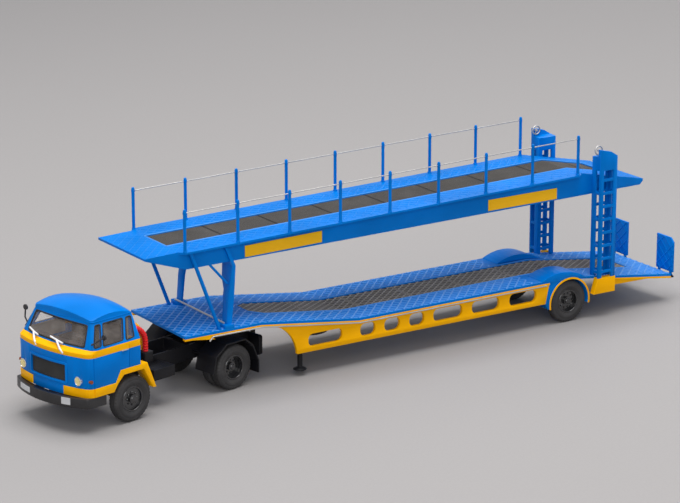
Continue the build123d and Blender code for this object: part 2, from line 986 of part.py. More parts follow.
def front_post(side):
    low = min(side * top_half, side * post_out)
    strip = slab(post_front + post_rear, low, low + post_out - top_half)
    run = min(0, side * post_out)
    sheet = slab(thick_line(post_front, post_plate), run, run + post_out)
    with BuildPart() as web:
        with BuildSketch(front_plane(post_knee_rear_x - overrun)):
            with BuildLine():
                Polyline(
                    *[(side * y, z) for y, z in web_table],
                    (side * post_out, web_table[-1][-1]),
                    (side * post_out, web_table[0][-1]),
                    close=True,
                )
            make_face()
        extrude(amount=post_top_front_x - post_knee_rear_x + overrun)
    return strip + ((sheet & web.part) - over_beams)


with BuildPart() as post_feet:
    with BuildSketch(Plane.XY.offset(neck_z)):
        for side in (1, -1):
            with Locations(((foot_front_x + foot_rear_x) / 2, side * (foot_in + deck_half) / 2)):
                RectangleRounded(foot_front_x - foot_rear_x, deck_half - foot_in, post_foot_height / 2)
    extrude(amount=post_foot_height)
front_posts = front_post(1) + front_post(-1)
trailer["front_posts"] = front_posts + post_feet.part


def leaning_bar(y, low, high, radius):
    """A round bar in side view from low to high, cut level at its foot and run on at its head."""
    run = sqrt((high[0] - low[0]) ** 2 + (high[1] - low[1]) ** 2)
    along = ((high[0] - low[0]) / run, 0, (high[1] - low[1]) / run)
    start = (low[0] - along[0] * overrun, y, low[1] - along[2] * overrun)
    with BuildPart() as made:
        with BuildSketch(Plane(origin=start, x_dir=(0, 1, 0), z_dir=along)):
            Circle(radius)
        extrude(amount=run + overrun * 2)
        split(bisect_by=Plane.XY.offset(low[1]), keep=Keep.TOP)
    return made.part


# Slanted stays ahead of the posts, and short knee braces from the webs to the beams
stays = [
    leaning_bar(
        side * stay_y,
        (stay_foot_x, neck_z),
        (stay_top_x, upper_top(stay_top_x)),
        stay_radius,
    )
    for side in (1, -1)
]
knees = [
    leaning_bar(side * knee_y, (knee_foot_x, knee_foot_z), (knee_top_x, beam_low(knee_top_x)), knee_radius)
    for side in (1, -1)
]
front_stays = stays[0] + stays[1] - over_upper
trailer["front_stays"] = front_stays + (knees[0] + knees[1] - over_beams - front_posts)

with BuildPart() as cross_rod:
    rod_z = neck_z + post_foot_height + cross_rod_radius
    with BuildSketch(Plane(origin=(cross_rod_x, -cross_rod_half, rod_z), z_dir=(0, 1, 0))):
        Circle(cross_rod_radius)
    extrude(amount=cross_rod_half * 2)

# Upper deck, a bent plate with a well, side flanges, two beams and cross ribs
with BuildPart() as upper_deck:
    with BuildSketch(side_plane(top_half)):
        with BuildLine():
            Polyline(*upper_band(top_front_x, top_rear_x, 0, top_plate), close=True)
        make_face()
    extrude(amount=top_half * 2)
    for side in (1, -1):
        with BuildSketch(side_plane(top_flange_half if side > 0 else -top_half)):
            with BuildLine():
                Polyline(*upper_band(flange_front_x, flange_rear_x, 0, top_plate), close=True)
            make_face()
        extrude(amount=top_flange_half - top_half)
        # the flange's ends run out at a slant
        for end_x, way in ((flange_front_x, 1), (flange_rear_x, -1)):
            with BuildSketch(Plane.XY.offset(top_nose_z - overrun)):
                with BuildLine():
                    Polyline(
                        (end_x, side * top_half),
                        (end_x + way * overrun, side * top_half),
                        (end_x + way * overrun, side * (top_flange_half + overrun)),
                        (end_x - way * flange_run, side * (top_flange_half + overrun)),
                        (end_x - way * flange_run, side * top_flange_half),
                        close=True,
                    )
                make_face()
            extrude(amount=top_bend_z - top_nose_z + overrun * 2, mode=Mode.SUBTRACT)
        with BuildSketch(side_plane(top_half if side > 0 else -(top_half - beam_plate))):
            with BuildLine():
                Polyline(
                    (top_front_x, top_front_z - top_plate),
                    (top_nose_x, top_nose_z - top_plate),
                    (top_bend_x, top_bend_z - top_plate),
                    (top_rear_x, top_rear_z - top_plate),
                    (beam_rear_x, beam_rear_z),
                    (beam_mid_x, beam_mid_z),
                    (beam_nose_x, beam_nose_z),
                    close=True,
                )
            make_face()
        extrude(amount=beam_plate)
    rib_run = (top_nose_x - top_bend_x) / (rib_count - 1)
    for i in range(rib_count):
        x = top_nose_x - i * rib_run
        with BuildSketch(side_plane(top_half - beam_plate)):
            with Locations((x, upper_top(x) - top_plate - rib_depth / 2)):
                Rectangle(rib_width, rib_depth)
        extrude(amount=(top_half - beam_plate) * 2)
    with BuildSketch(side_plane(well_half + well_rim)):
        with BuildLine():
            Polyline(
                *upper_band(top_well_front_x + well_rim, top_well_rear_x - well_rim, -well_rim / 2, top_plate),
                close=True,
            )
        make_face()
    extrude(amount=(well_half + well_rim) * 2)
    with BuildSketch(side_plane(well_half)):
        with BuildLine():
            Polyline(*upper_band(top_well_front_x, top_well_rear_x, -overrun, well_depth), close=True)
        make_face()
    extrude(amount=well_half * 2, mode=Mode.SUBTRACT)
trailer["upper_deck"] = upper_deck.part
trailer["upper_grating"] = panels(top_well_front_x, top_well_rear_x, upper_band, panel_pitch)

# Rail posts, round bars with rounded tops, and the wire along each side
with BuildPart() as rail_posts:
    for side in (1, -1):
        for i in range(rail_count):
            x = rail_first_x - i * rail_pitch
            foot_z = upper_top(x)
            with BuildSketch(Plane(origin=(x, side * rail_y, 0), x_dir=(1, 0, 0), z_dir=(0, -1, 0))):
                with BuildLine():
                    Polyline(
                        (rail_radius, foot_z + rail_height - rail_radius),
                        (rail_radius, foot_z),
                        (0, foot_z),
                        (0, foot_z + rail_height),
                    )
                    CenterArc((0, foot_z + rail_height - rail_radius), rail_radius, 0, 90)
                make_face()
            revolve(axis=Axis((x, side * rail_y, 0), (0, 0, 1)))
rail_rear_x = rail_first_x - (rail_count - 1) * rail_pitch
wire_start = (rail_first_x + rail_radius, upper_top(rail_first_x) + rail_height - rail_wire_drop)
wire_end = (rail_rear_x - rail_radius, upper_top(rail_rear_x) + rail_height - rail_wire_drop)
wire_run = sqrt((wire_start[0] - wire_end[0]) ** 2 + (wire_start[1] - wire_end[1]) ** 2)
wire_along = ((wire_end[0] - wire_start[0]) / wire_run, 0, (wire_end[1] - wire_start[1]) / wire_run)


def side_wires(radius):
    with BuildPart() as made:
        for side in (1, -1):
            start = (wire_start[0], side * rail_y, wire_start[1])
            with BuildSketch(Plane(origin=start, x_dir=(0, 1, 0), z_dir=wire_along)):
                Circle(radius)
            extrude(amount=wire_run)
    return made.part


trailer["rail_wires"] = side_wires(rail_wire_radius)
trailer["rail_posts"] = rail_posts.part - side_wires(rail_wire_radius + seat_gap) - upper_deck.part

# Plain name boards on the beams' outer faces
with BuildPart() as boards:
    for side in (1, -1):
        for front, length in board_table:
            rear = front - length
            with BuildSketch(side_plane(top_half + board_plate if side > 0 else -top_half)):
                with BuildLine():
                    Polyline(
                        (front, beam_low(front) + board_lift),
                        (front, beam_low(front) + board_lift + board_height),
                        (rear, beam_low(rear) + board_lift + board_height),
                        (rear, beam_low(rear) + board_lift),
                        close=True,
                    )
                make_face()
            extrude(amount=board_plate)
trailer["name_boards"] = boards.part

# Towers, square tubes with a ladder of openings, closed by a cap that slopes to the rear
tower_length = tower_front_x - tower_rear_x
tower_width = tower_out - tower_in
side_open = tower_length - tower_side_post * 2
face_open = tower_width - tower_face_post - tower_wall


def tower(side):
    low_z = foot_plate_top_z
    with BuildPart() as made:
        with BuildSketch(side_plane(tower_out if side > 0 else -tower_in)):
            with BuildLine():
                Polyline(
                    (tower_front_x, low_z - overrun),
                    (tower_front_x, tower_peak_z),
                    (tower_shoulder_x, tower_shoulder_z),
                    (tower_rear_x, tower_back_z),
                    (tower_rear_x, low_z - overrun),
                    close=True,
                )
            make_face()
        extrude(amount=tower_width)
        # the cap falls to the inside behind a ridge
        ridge = tower_out - tower_ridge
        with BuildSketch(front_plane(tower_rear_x - overrun)):
            with BuildLine():
                Polyline(
                    (side * ridge, tower_peak_z + overrun),
                    (side * ridge, tower_ridge_z),
                    (side * tower_in, tower_inner_z),
                    (side * (tower_in - overrun), tower_inner_z),
                    (side * (tower_in - overrun), tower_peak_z + overrun),
                    close=True,
                )
            make_face()
        extrude(amount=tower_length + overrun * 2, mode=Mode.SUBTRACT)
        # hollow shaft
        with BuildSketch(Plane.XY.offset(low_z - overrun)):
            with Locations(((tower_front_x + tower_rear_x) / 2, side * (tower_in + tower_out) / 2)):
                Rectangle(tower_length - tower_wall * 2, tower_width - tower_wall * 2)
        extrude(amount=tower_cap_z - low_z + overrun, mode=Mode.SUBTRACT)
        # openings between the rungs of the long sides
        with BuildSketch(side_plane(side * (tower_in + tower_out) / 2)):
            for i in range(-1, rung_count):
                base = rung_first_z + rung_height + i * rung_pitch
                top = min(base + rung_pitch - rung_height, tower_cap_z)
                with Locations(((tower_front_x + tower_rear_x) / 2, (base + top) / 2)):
                    Rectangle(side_open, top - base)
        extrude(amount=tower_width, both=True, mode=Mode.SUBTRACT)
        # and between every second rung of the faces
        with BuildSketch(front_plane((tower_front_x + tower_rear_x) / 2)):
            for i in range(-2, rung_count, 2):
                base = rung_first_z + rung_height + i * rung_pitch
                top = min(base + rung_pitch * 2 - rung_height, tower_cap_z)
                with Locations((side * (tower_out - tower_wall - face_open / 2), (base + top) / 2)):
                    Rectangle(face_open, top - base)
        extrude(amount=tower_length, both=True, mode=Mode.SUBTRACT)
        # the inner legs stand on the deck, the outer ones on the foot plates
        with BuildSketch(side_plane(deck_half if side > 0 else -(tower_in - overrun))):
            with BuildLine():
                Polyline(*deck_band(tower_front_x + overrun, tower_rear_x - overrun, 0, deck_z), close=True)
            make_face()
        extrude(amount=deck_half - tower_in + overrun, mode=Mode.SUBTRACT)
        with BuildSketch(Plane.XY.offset(low_z)):
            with Locations(((tower_front_x + tower_rear_x) / 2, side * (deck_half + tower_width))):
                Rectangle(tower_length * 2, tower_width * 2)
        extrude(amount=-overrun * 2, mode=Mode.SUBTRACT)
    return made.part


trailer["towers"] = tower(1) + tower(-1)

# Foot plates under the towers' outer legs
with BuildPart() as tower_feet:
    for side in (1, -1):
        inner = deck_half
        with BuildSketch(side_plane(tower_out if side > 0 else -inner)):
            with BuildLine():
                Polyline(
                    (foot_plate_front_x, foot_plate_bottom_z),
                    (foot_plate_front_x - foot_plate_lean, foot_plate_top_z),
                    (foot_plate_rear_x, foot_plate_top_z),
                    (foot_plate_rear_x, foot_plate_bottom_z),
                    close=True,
                )
            make_face()
        extrude(amount=tower_out - inner)
trailer["tower_feet"] = tower_feet.part

# Rope pulleys beside the ridge of each cap, with a pin
with BuildPart() as pulleys:
    for side in (1, -1):
        face = tower_out - tower_ridge - pulley_gap
        with BuildSketch(Plane(origin=(pulley_x, 0, pulley_z))):
            with BuildLine():
                Polyline(
                    (0, side * (face - pulley_width)),
                    (pulley_radius, side * (face - pulley_width)),
                    (pulley_radius - pulley_groove, side * (face - pulley_width / 2)),
                    (pulley_radius, side * face),
                    (pulley_pin_radius, side * face),
                    (pulley_pin_radius, side * (face + pulley_gap)),
                    (0, side * (face + pulley_gap)),
                    close=True,
                )
            make_face()
        revolve(axis=Axis((pulley_x, 0, pulley_z), (0, 1, 0)))
trailer["pulleys"] = pulleys.part

# Silver wires along the lips of the lower deck, each with a curled front end
lip_face = deck_half + wire_radius + seat_gap


def edge_wire(side):
    drop = deck_plate + lip_height
    points = [
        (x, side * lip_face, deck_top(x) - drop)
        for x in (wire_front_x, neck_end_x, slope_end_x, frame_rear_x)
    ]
    curl = (wire_front_x + wire_curl, side * lip_face, neck_z - drop - wire_curl)
    with BuildPart() as made:
        with BuildLine() as run:
            FilletPolyline(curl, *points, radius=wire_curl / 2)
        with BuildSketch(Plane(origin=run.line @ 0, z_dir=run.line % 0)):
            Circle(wire_radius)
        sweep()
    return made.part


trailer["edge_wires"] = edge_wire(1) + edge_wire(-1) + cross_rod.part

# Rear ramps, upright flaps on hinge rods behind the deck
hinge_x = deck_rear_x - ramp_gap - lug_radius
hinge_z = deck_rear_z - deck_plate / 2 - hinge_drop


def ramp(side):
    y_high = ramp_out if side > 0 else -ramp_in
    foot_z = deck_rear_z + ramp_gap
    with BuildPart() as made:
        with BuildSketch(front_plane(hinge_x - ramp_plate / 2)):
            with BuildLine():
                Polyline(
                    (side * ramp_in, foot_z),
                    (side * ramp_out, foot_z),
                    (side * ramp_out, foot_z + ramp_height - ramp_corner),
                    (side * (ramp_out - ramp_corner), foot_z + ramp_height),
                    (side * ramp_in, foot_z + ramp_height),
                    close=True,
                )
            make_face()
        extrude(amount=ramp_plate)
        for y in (ramp_in + lug_width * 2, ramp_out - lug_width):
            with BuildSketch(side_plane(y if side > 0 else -(y - lug_width))):
                with Locations((hinge_x, (hinge_z + foot_z) / 2)):
                    Rectangle(ramp_plate, foot_z - hinge_z)
                with Locations((hinge_x, hinge_z)):
                    Circle(lug_radius)
                with Locations((hinge_x, hinge_z)):
                    Circle(hinge_radius + running_gap, mode=Mode.SUBTRACT)
            extrude(amount=lug_width)
    return made.part


trailer["ramp_left"] = ramp(1)
trailer["ramp_right"] = ramp(-1)

# Hinge rods of the ramps, held by ears on the deck's rear edge
with BuildPart() as ramp_hinges:
    for side in (1, -1):
        start = min(side * ramp_in, side * ramp_out)
        with BuildSketch(Plane(origin=(hinge_x, start, hinge_z), z_dir=(0, 1, 0))):
            Circle(hinge_radius)
        extrude(amount=ramp_out - ramp_in)
        for y in (ramp_in + lug_width * 4, ramp_out - lug_width * 3):
            with BuildSketch(side_plane(y if side > 0 else -(y - lug_width))):
                with BuildLine():
                    Polyline(
                        (deck_rear_x - seat_gap, deck_rear_z - deck_plate),
                        (hinge_x - hinge_radius, hinge_z + hinge_radius),
                        (hinge_x - hinge_radius, hinge_z - hinge_radius),
                        (deck_rear_x - seat_gap, hinge_z - lug_radius),
                        close=True,
                    )
                make_face()
            extrude(amount=lug_width)
trailer["ramp_hinges"] = ramp_hinges.part


# Tractor chassis, two rails with cross members and a drawbar plate at the tail
rail_in_b = rail_out_b - chassis_plate
rails_rear_x = chassis_rear_x + tail_length
with BuildPart() as chassis:
    with BuildSketch(Plane.XY.offset(chassis_bottom_z)):
        for side in (1, -1):
            with Locations(((chassis_front_x + rails_rear_x) / 2, side * (rail_in_b + rail_out_b) / 2)):
                Rectangle(chassis_front_x - rails_rear_x, chassis_plate)
        for share in cross_table_shares:
            with Locations((rails_rear_x + (chassis_front_x - rails_rear_x) * share, 0)):
                Rectangle(cross_length, rail_in_b * 2)
    extrude(amount=chassis_top_z - chassis_bottom_z)
    with BuildSketch(front_plane(chassis_rear_x)):
        with Locations((0, tail_low_z + tail_height / 2)):
            RectangleRounded(tail_half * 2, tail_height, chassis_plate)
    extrude(amount=tail_length)

# Coupling on the chassis, a plate with the bore that turns on the kingpin
coupling_top_z = neck_low_z - running_gap
with BuildPart() as coupling:
    with BuildSketch(Plane.XY.offset(coupling_top_z - coupling_plate)):
        RectangleRounded(coupling_length, coupling_half * 2, coupling_half / 2)
        Circle(kingpin_radius + running_gap, mode=Mode.SUBTRACT)
    extrude(amount=coupling_plate)
    with BuildSketch(Plane.XY.offset(chassis_top_z)):
        for side in (1, -1):
            with Locations((0, side * (rail_out_b - pedestal_width / 2))):
                Rectangle(coupling_length / 2, pedestal_width)
    extrude(amount=coupling_top_z - coupling_plate - chassis_top_z)
tractor["coupling"] = coupling.part


# Axle carriers of the tractor, a leaf spring on each rail with a block that holds the axle
def axle_carrier(axle_x):
    spring_low_z = chassis_bottom_z - spring_height
    carrier_out = rail_in_b + spring_width
    with BuildPart() as made:
        for side in (1, -1):
            with BuildSketch(side_plane(carrier_out if side > 0 else -rail_in_b)):
                with BuildLine():
                    Polyline(
                        (axle_x - spring_length / 2, chassis_bottom_z),
                        (axle_x - axle_beam_half, spring_low_z),
                        (axle_x - axle_beam_half, tyre_radius - axle_beam_half),
                        (axle_x + axle_beam_half, tyre_radius - axle_beam_half),
                        (axle_x + axle_beam_half, spring_low_z),
                        (axle_x + spring_length / 2, chassis_bottom_z),
                        close=True,
                    )
                make_face()
                with Locations((axle_x, tyre_radius)):
                    Circle(axle_radius + running_gap, mode=Mode.SUBTRACT)
            extrude(amount=spring_width)
    return made.part


tractor["axle_carriers"] = axle_carrier(front_axle_x) + axle_carrier(drive_axle_x)

# Battery box on the left rail and a round tank on the right one
with BuildPart() as battery_box:
    with BuildSketch(Plane.XY.offset(box_bottom_z)):
        with Locations(((box_front_x + box_rear_x) / 2, (box_in + box_out) / 2)):
            RectangleRounded(box_front_x - box_rear_x, box_out - box_in, box_fillet)
    extrude(amount=box_top_z - box_bottom_z)
    with BuildSketch(Plane.XY.offset(box_bottom_z + box_fillet)):
        with Locations(((box_front_x + box_rear_x) / 2, (rail_out_b + box_in) / 2)):
            Rectangle((box_front_x - box_rear_x) / 2, box_in - rail_out_b)
    extrude(amount=box_bracket)

with BuildPart() as tank:
    tank_z = chassis_bottom_z + tank_radius
    with BuildSketch(front_plane(box_rear_x)):
        with Locations((-(rail_out_b + tank_gap + tank_radius), tank_z)):
            Circle(tank_radius)
    extrude(amount=box_front_x - box_rear_x)
    with BuildSketch(front_plane(box_rear_x + box_bracket)):
        with Locations((-(rail_out_b + tank_radius / 2), tank_z)):
            Rectangle(tank_radius, box_bracket)
    extrude(amount=box_front_x - box_rear_x - box_bracket * 2)
tractor["battery_and_tank"] = battery_box.part + tank.part

# Mudguards over the drive wheels, on round stays from the rails
guard_line = [(drive_axle_x + ahead, z) for ahead, z in guard_table]
with BuildPart() as mudguards:
    for side in (1, -1):
        with BuildSketch(side_plane(guard_out if side > 0 else -guard_in)):
            with BuildLine():
                Polyline(*thick_line(guard_line, guard_plate), close=True)
            make_face()
        extrude(amount=guard_out - guard_in)
        for x, z in (guard_line[1], guard_line[4]):
            start = min(side * rail_out_b, side * (guard_out - guard_plate))
            with BuildSketch(Plane(origin=(x, start, z), z_dir=(0, 1, 0))):
                Circle(guard_stay_radius)
            extrude(amount=guard_out - guard_plate - rail_out_b)
tractor["mudguards"] = mudguards.part


# Cab outlines in plan, a flat rear, flat sides and a bowed front with rounded corners
def plan(z, half, rear, front, nose, corner):
    with BuildSketch(Plane.XY.offset(z)) as made:
        with BuildLine():
            Polyline((front, half), (rear, half), (rear, -half), (front, -half))
            ThreePointArc((front, -half), (front + nose, 0), (front, half))
        make_face()
        fillet(made.vertices().sort_by(Axis.X)[-2:], corner)
    return made.sketch


def body_plan(z, inset):
    return plan(z, cab_half - inset, cab_rear_x + inset, cab_front_x - inset, cab_nose, cab_corner - inset)


def sill_plan(z, inset):
    return plan(z, cab_half - inset, cab_rear_x + inset, sill_front_x - inset, sill_nose, sill_corner - inset)


def roof_plan(z, inset):
    return plan(
        z, roof_half - inset, roof_rear_x + inset, roof_front_x - inset, roof_nose, roof_corner - inset
    )


def bumper_plan(inset):
    return plan(
        bumper_low_z,
        cab_half - inset,
        bumper_end_x,
        bumper_front_x - inset,
        bumper_nose,
        bumper_corner - inset,
    )


def body_form(inset, low, high):
    """The body below the windows as a solid, drawn in by an inset."""
    return extrude(body_plan(low, inset), amount=high - low, dir=(0, 0, 1))


def window_form(inset):
    """The leaning part with the windows as a solid, drawn in by an inset."""
    return loft([sill_plan(belt_z, inset), roof_plan(roof_edge_z, inset)], ruled=True)


def roof_form(inset):
    """The domed roof as a solid, the meeting of a barrel lying along the cab and the roof's plan."""
    half = roof_half - inset
    rear = roof_rear_x + inset
    front = roof_front_x + roof_nose - inset
    crown = roof_crown_z - inset
    axis_z = crown - (half * half + roof_fall_across * roof_fall_across) / (roof_fall_across * 2)
    with BuildPart() as barrel:
        with BuildSketch(side_plane(0)):
            with BuildLine():
                Polyline(
                    (front, crown - roof_fall_along),
                    (front, axis_z),
                    (rear, axis_z),
                    (rear, crown - roof_fall_along),
                )
                ThreePointArc(
                    (rear, crown - roof_fall_along),
                    ((front + rear) / 2, crown),
                    (front, crown - roof_fall_along),
                )
            make_face()
        revolve(axis=Axis((0, 0, axis_z), (1, 0, 0)))
    return barrel.part & extrude(roof_plan(roof_edge_z, inset), amount=crown - roof_edge_z, dir=(0, 0, 1))


def across_prism(corners, fillet_radius, rear, front):
    """A prism along X whose outline is drawn in Y and Z."""
    with BuildPart() as made:
        with BuildSketch(front_plane(rear)) as outline:
            with BuildLine():
                Polyline(*corners, close=True)
            make_face()
            fillet(outline.vertices(), fillet_radius)
        extrude(amount=front - rear)
    return made.part


def along_prism(corners, fillet_radius):
    """A prism along Y through the whole cab whose outline is drawn in X and Z."""
    with BuildPart() as made:
        with BuildSketch(side_plane(cab_half + overrun)) as outline:
            with BuildLine():
                Polyline(*corners, close=True)
            make_face()
            fillet(outline.vertices(), fillet_radius)
        extrude(amount=(cab_half + overrun) * 2)
    return made.part


def both_sides(outline, inner, outer):
    """A side-view outline made solid on both sides between two distances from the middle."""
    return slab(outline, inner, outer) + slab(outline, -outer, -inner)


cab_middle_x = (cab_rear_x + cab_front_x) / 2
cab_tip_x = cab_front_x + cab_nose + overrun


def screen_prism(gap):
    return across_prism(
        (
            (screen_low_half - gap, screen_low_z + gap),
            (screen_top_half - gap, screen_top_z - gap),
            (-screen_top_half + gap, screen_top_z - gap),
            (-screen_low_half + gap, screen_low_z + gap),
        ),
        pane_fillet,
        cab_middle_x,
        cab_tip_x,
    )


def back_prism(gap):
    return across_prism(
        (
            (back_half - gap, back_low_z + gap),
            (back_half - gap, back_top_z - gap),
            (-back_half + gap, back_top_z - gap),
            (-back_half + gap, back_low_z + gap),
        ),
        pane_fillet,
        cab_rear_x - overrun,
        cab_middle_x,
    )


def side_prisms(gap):
    made = [
        along_prism(
            (
                (low_rear + gap, side_low_z + gap),
                (low_front - gap, side_low_z + gap),
                (top_front - gap, side_top_z - gap),
                (top_rear + gap, side_top_z - gap),
            ),
            pane_fillet,
        )
        for low_rear, low_front, top_front, top_rear in side_pane_table
    ]
    return made[0] + made[1:]


def door_lines():
    """Shut lines of the doors, narrow grooves round the body's sides."""
    made = [
        both_sides(
            (
                (x - door_line / 2, foot_z),
                (x + door_line / 2, foot_z),
                (x + door_line / 2, belt_edge_z),
                (x - door_line / 2, belt_edge_z),
            ),
            cab_half / 2,
            cab_half + overrun,
        )
        for x, foot_z in ((door_front_x, skirt_low_z), (door_rear_x, wing_top_z))
    ]
    return made[0] + made[1] - body_form(door_line_depth, skirt_low_z, belt_edge_z)


# Wings round the front wheels, joined to the skirt at the front corners
wing_outline = (
    (wing_join_x, skirt_low_z),
    (wing_join_x, skirt_z),
    (wing_rise_x, skirt_z),
    (wing_front_x, wing_top_z),
    (wing_rear_x, wing_top_z),
    (wing_tip_x, wing_tip_z),
    (wing_inner_x, wing_tip_z),
    (arch_rear_x, arch_top_z),
    (arch_front_x, arch_top_z),
    (arch_bend_x, arch_bend_z),
    (arch_low_x, skirt_low_z),
)
ahead = (
    (wing_join_x, skirt_low_z),
    (wing_join_x, skirt_z),
    (cab_tip_x, skirt_z),
    (cab_tip_x, skirt_low_z),
)
skirt_ring = body_form(-wing_proud, skirt_low_z, skirt_z) - body_form(cab_wall, skirt_low_z, skirt_z)
tractor["wings"] = both_sides(wing_outline, wing_in, cab_half + wing_proud) + (
    (skirt_ring & both_sides(ahead, skirt_half, cab_half + overrun)) - door_lines()
)

# Lower shell of the cab with its floor, open over the wheels and for the grille and the lamps
wing_fill = (
    (wing_rise_x, skirt_low_z),
    (wing_rise_x, skirt_z),
    (wing_front_x, wing_top_z),
    (wing_rear_x, wing_top_z),
    (wing_rear_x, skirt_low_z),
)
lower_walls = body_form(0, skirt_z, belt_low_z) - body_form(cab_wall, skirt_z, belt_low_z)
front_apron = (body_form(0, skirt_low_z, skirt_z) - body_form(cab_wall, skirt_low_z, skirt_z)) & slab(
    ahead, -skirt_half, skirt_half
)
cab_floor = body_form(cab_wall, chassis_top_z, chassis_top_z + floor_plate)
grille_corners = (
    (grille_half, grille_low_z),
    (grille_half, grille_top_z),
    (-grille_half, grille_top_z),
    (-grille_half, grille_low_z),
)
grille_prism = across_prism(grille_corners, grille_fillet, cab_middle_x, cab_tip_x)


def lamp_rods(radius, front, dome):
    """Round bars in the places of the headlamps, with domed ends."""
    curve = (radius * radius + dome * dome) / (dome * 2)
    with BuildPart() as made:
        for side in (1, -1):
            spot = Plane(origin=(0, side * lamp_y, lamp_z), x_dir=(1, 0, 0), z_dir=(0, -1, 0))
            with BuildSketch(spot):
                with BuildLine():
                    Polyline(
                        (front, 0), (lamp_rear_x, 0), (lamp_rear_x, radius), (front - dome, radius)
                    )
                    CenterArc((front - curve, 0), curve, 0, degrees(asin(radius / curve)))
                make_face()
            revolve(axis=Axis(spot.origin, (1, 0, 0)))
    return made.part


lower_shell = lower_walls + front_apron + cab_floor
lower_shell = lower_shell - both_sides(wing_fill, wing_in, cab_half + overrun)
lamp_holes = lamp_rods(lamp_radius, cab_tip_x, lamp_dome)
tractor["cab_lower"] = lower_shell - grille_prism - lamp_holes - door_lines()

# Belt round the cab, running in to the foot of the windscreen
belt_inside = extrude(sill_plan(belt_low_z, cab_wall), amount=belt_z - belt_low_z, dir=(0, 0, 1))
cowl = loft([body_plan(belt_edge_z, 0), sill_plan(belt_z, 0)], ruled=True)
tractor["cab_belt"] = body_form(0, belt_low_z, belt_edge_z) + cowl - belt_inside - door_lines()

# Upper shell of the cab with the window openings and the domed roof
upper_shell = window_form(0) - window_form(cab_wall)
upper_shell = upper_shell - screen_prism(0) - side_prisms(0) - back_prism(0)
tractor["cab_upper"] = upper_shell + (roof_form(0) - roof_form(cab_wall))

# Glazing, thin panes set into the openings
pane_skin = window_form(glass_inset) - window_form(glass_inset + glass_plate)
screen_pane = pane_skin & screen_prism(glass_gap)
side_panes = pane_skin & side_prisms(glass_gap)
tractor["cab_glass"] = screen_pane + side_panes + (pane_skin & back_prism(glass_gap))

# Grille, a frame with a dark plate sunk in it
grille_hole = across_prism(
    [(y - grille_rim if y > 0 else y + grille_rim, z) for y, z in grille_corners[:2]]
    + [(y + grille_rim, z) for y, z in grille_corners[2:]],
    grille_fillet / 2,
    cab_middle_x,
    cab_tip_x,
)
grille_band = slab(
    (
        (cab_middle_x, grille_low_z + grille_rim),
        (cab_tip_x, grille_low_z + grille_rim),
        (cab_tip_x, grille_top_z - grille_rim),
        (cab_middle_x, grille_top_z - grille_rim),
    ),
    -grille_half + grille_rim,
    grille_half - grille_rim,
)
front_skin = body_form(-grille_proud, skirt_z, belt_low_z) - body_form(cab_wall, skirt_z, belt_low_z)
tractor["grille_frame"] = (front_skin & grille_prism) - grille_band
tractor["grille_insert"] = grille_band & (
    body_form(grille_depth, skirt_z, belt_low_z) - body_form(grille_depth + grille_plate, skirt_z, belt_low_z)
)

# Headlamps, domed round glasses standing a little proud
tractor["headlamps"] = lamp_rods(lamp_radius - seat_gap, lamp_front_x, lamp_dome)

# Bumper, a bowed bar with returned ends, on brackets from the rails
bumper_bar = extrude(bumper_plan(0), amount=bumper_high_z - bumper_low_z, dir=(0, 0, 1))
bumper_inside = extrude(bumper_plan(bumper_plate), amount=bumper_high_z - bumper_low_z, dir=(0, 0, 1))
brackets = both_sides(
    (
        (chassis_front_x, chassis_bottom_z),
        (bumper_front_x + bumper_nose, chassis_bottom_z),
        (bumper_front_x + bumper_nose, bumper_high_z),
        (chassis_front_x, bumper_high_z),
    ),
    rail_in_b,
    rail_out_b,
)
tractor["bumper"] = bumper_bar - bumper_inside + (brackets & bumper_inside)

# Blank plates on the bumper's face
plate_skin = extrude(bumper_plan(-board_plate), amount=bumper_high_z - bumper_low_z, dir=(0, 0, 1)) - bumper_bar
plates = [
    slab(
        (
            (cab_middle_x, foot),
            (cab_tip_x + bumper_nose, foot),
            (cab_tip_x + bumper_nose, head),
            (cab_middle_x, head),
        ),
        right,
        left,
    )
    for right, left, foot, head in plate_table
]
tractor["blank_plates"] = plate_skin & (plates[0] + plates[1])

# Door handles and corner lamps on the sides
handle_line = (
    (handle_x - handle_length / 2, handle_z),
    (handle_x + handle_length / 2, handle_z),
    (handle_x + handle_length / 2, handle_z + handle_height),
    (handle_x - handle_length / 2, handle_z + handle_height),
)
tractor["door_handles"] = both_sides(handle_line, cab_half, cab_half + handle_height)
with BuildPart() as indicators:
    for side in (1, -1):
        start = min(side * indicator_in, side * cab_half)
        with BuildSketch(Plane(origin=(indicator_x, start, indicator_z), z_dir=(0, 1, 0))):
            Circle(indicator_radius)
        extrude(amount=cab_half - indicator_in)
tractor["indicators"] = indicators.part - body_form(0, skirt_z, belt_low_z)

# Mirrors, each a round head on a bent arm from the windscreen post
arms = []
heads = []
for side, *places in mirror_table:
    foot, elbow, tip = [(x, side * y, z) for x, y, z in places]
    arms.append(rod(foot, elbow, mirror_arm_radius))
    arms.append(Pos(*elbow) * Sphere(mirror_arm_radius))
    arms.append(rod(elbow, tip, mirror_arm_radius))
    with BuildPart() as head:
        with BuildSketch(front_plane(tip[0] - mirror_plate / 2)):
            with Locations(tip[1:]):
                Circle(mirror_radius)
        extrude(amount=mirror_plate)
    heads.append(head.part)
outer_form = window_form(0) + cowl + body_form(0, belt_low_z, belt_edge_z)
tractor["mirrors"] = heads[0] + heads[1] + arms - outer_form

# Wipers at the foot of the windscreen
bars = []
for foot, elbow, head, blade_left, blade_right in wiper_table:
    bars.append(rod(foot, elbow, wiper_radius))
    bars.append(Pos(*elbow) * Sphere(wiper_radius))
    bars.append(rod(elbow, head, wiper_radius))
    bars.append(rod(blade_left, blade_right, wiper_radius))
tractor["wipers"] = bars[0] + bars[1:] - outer_form

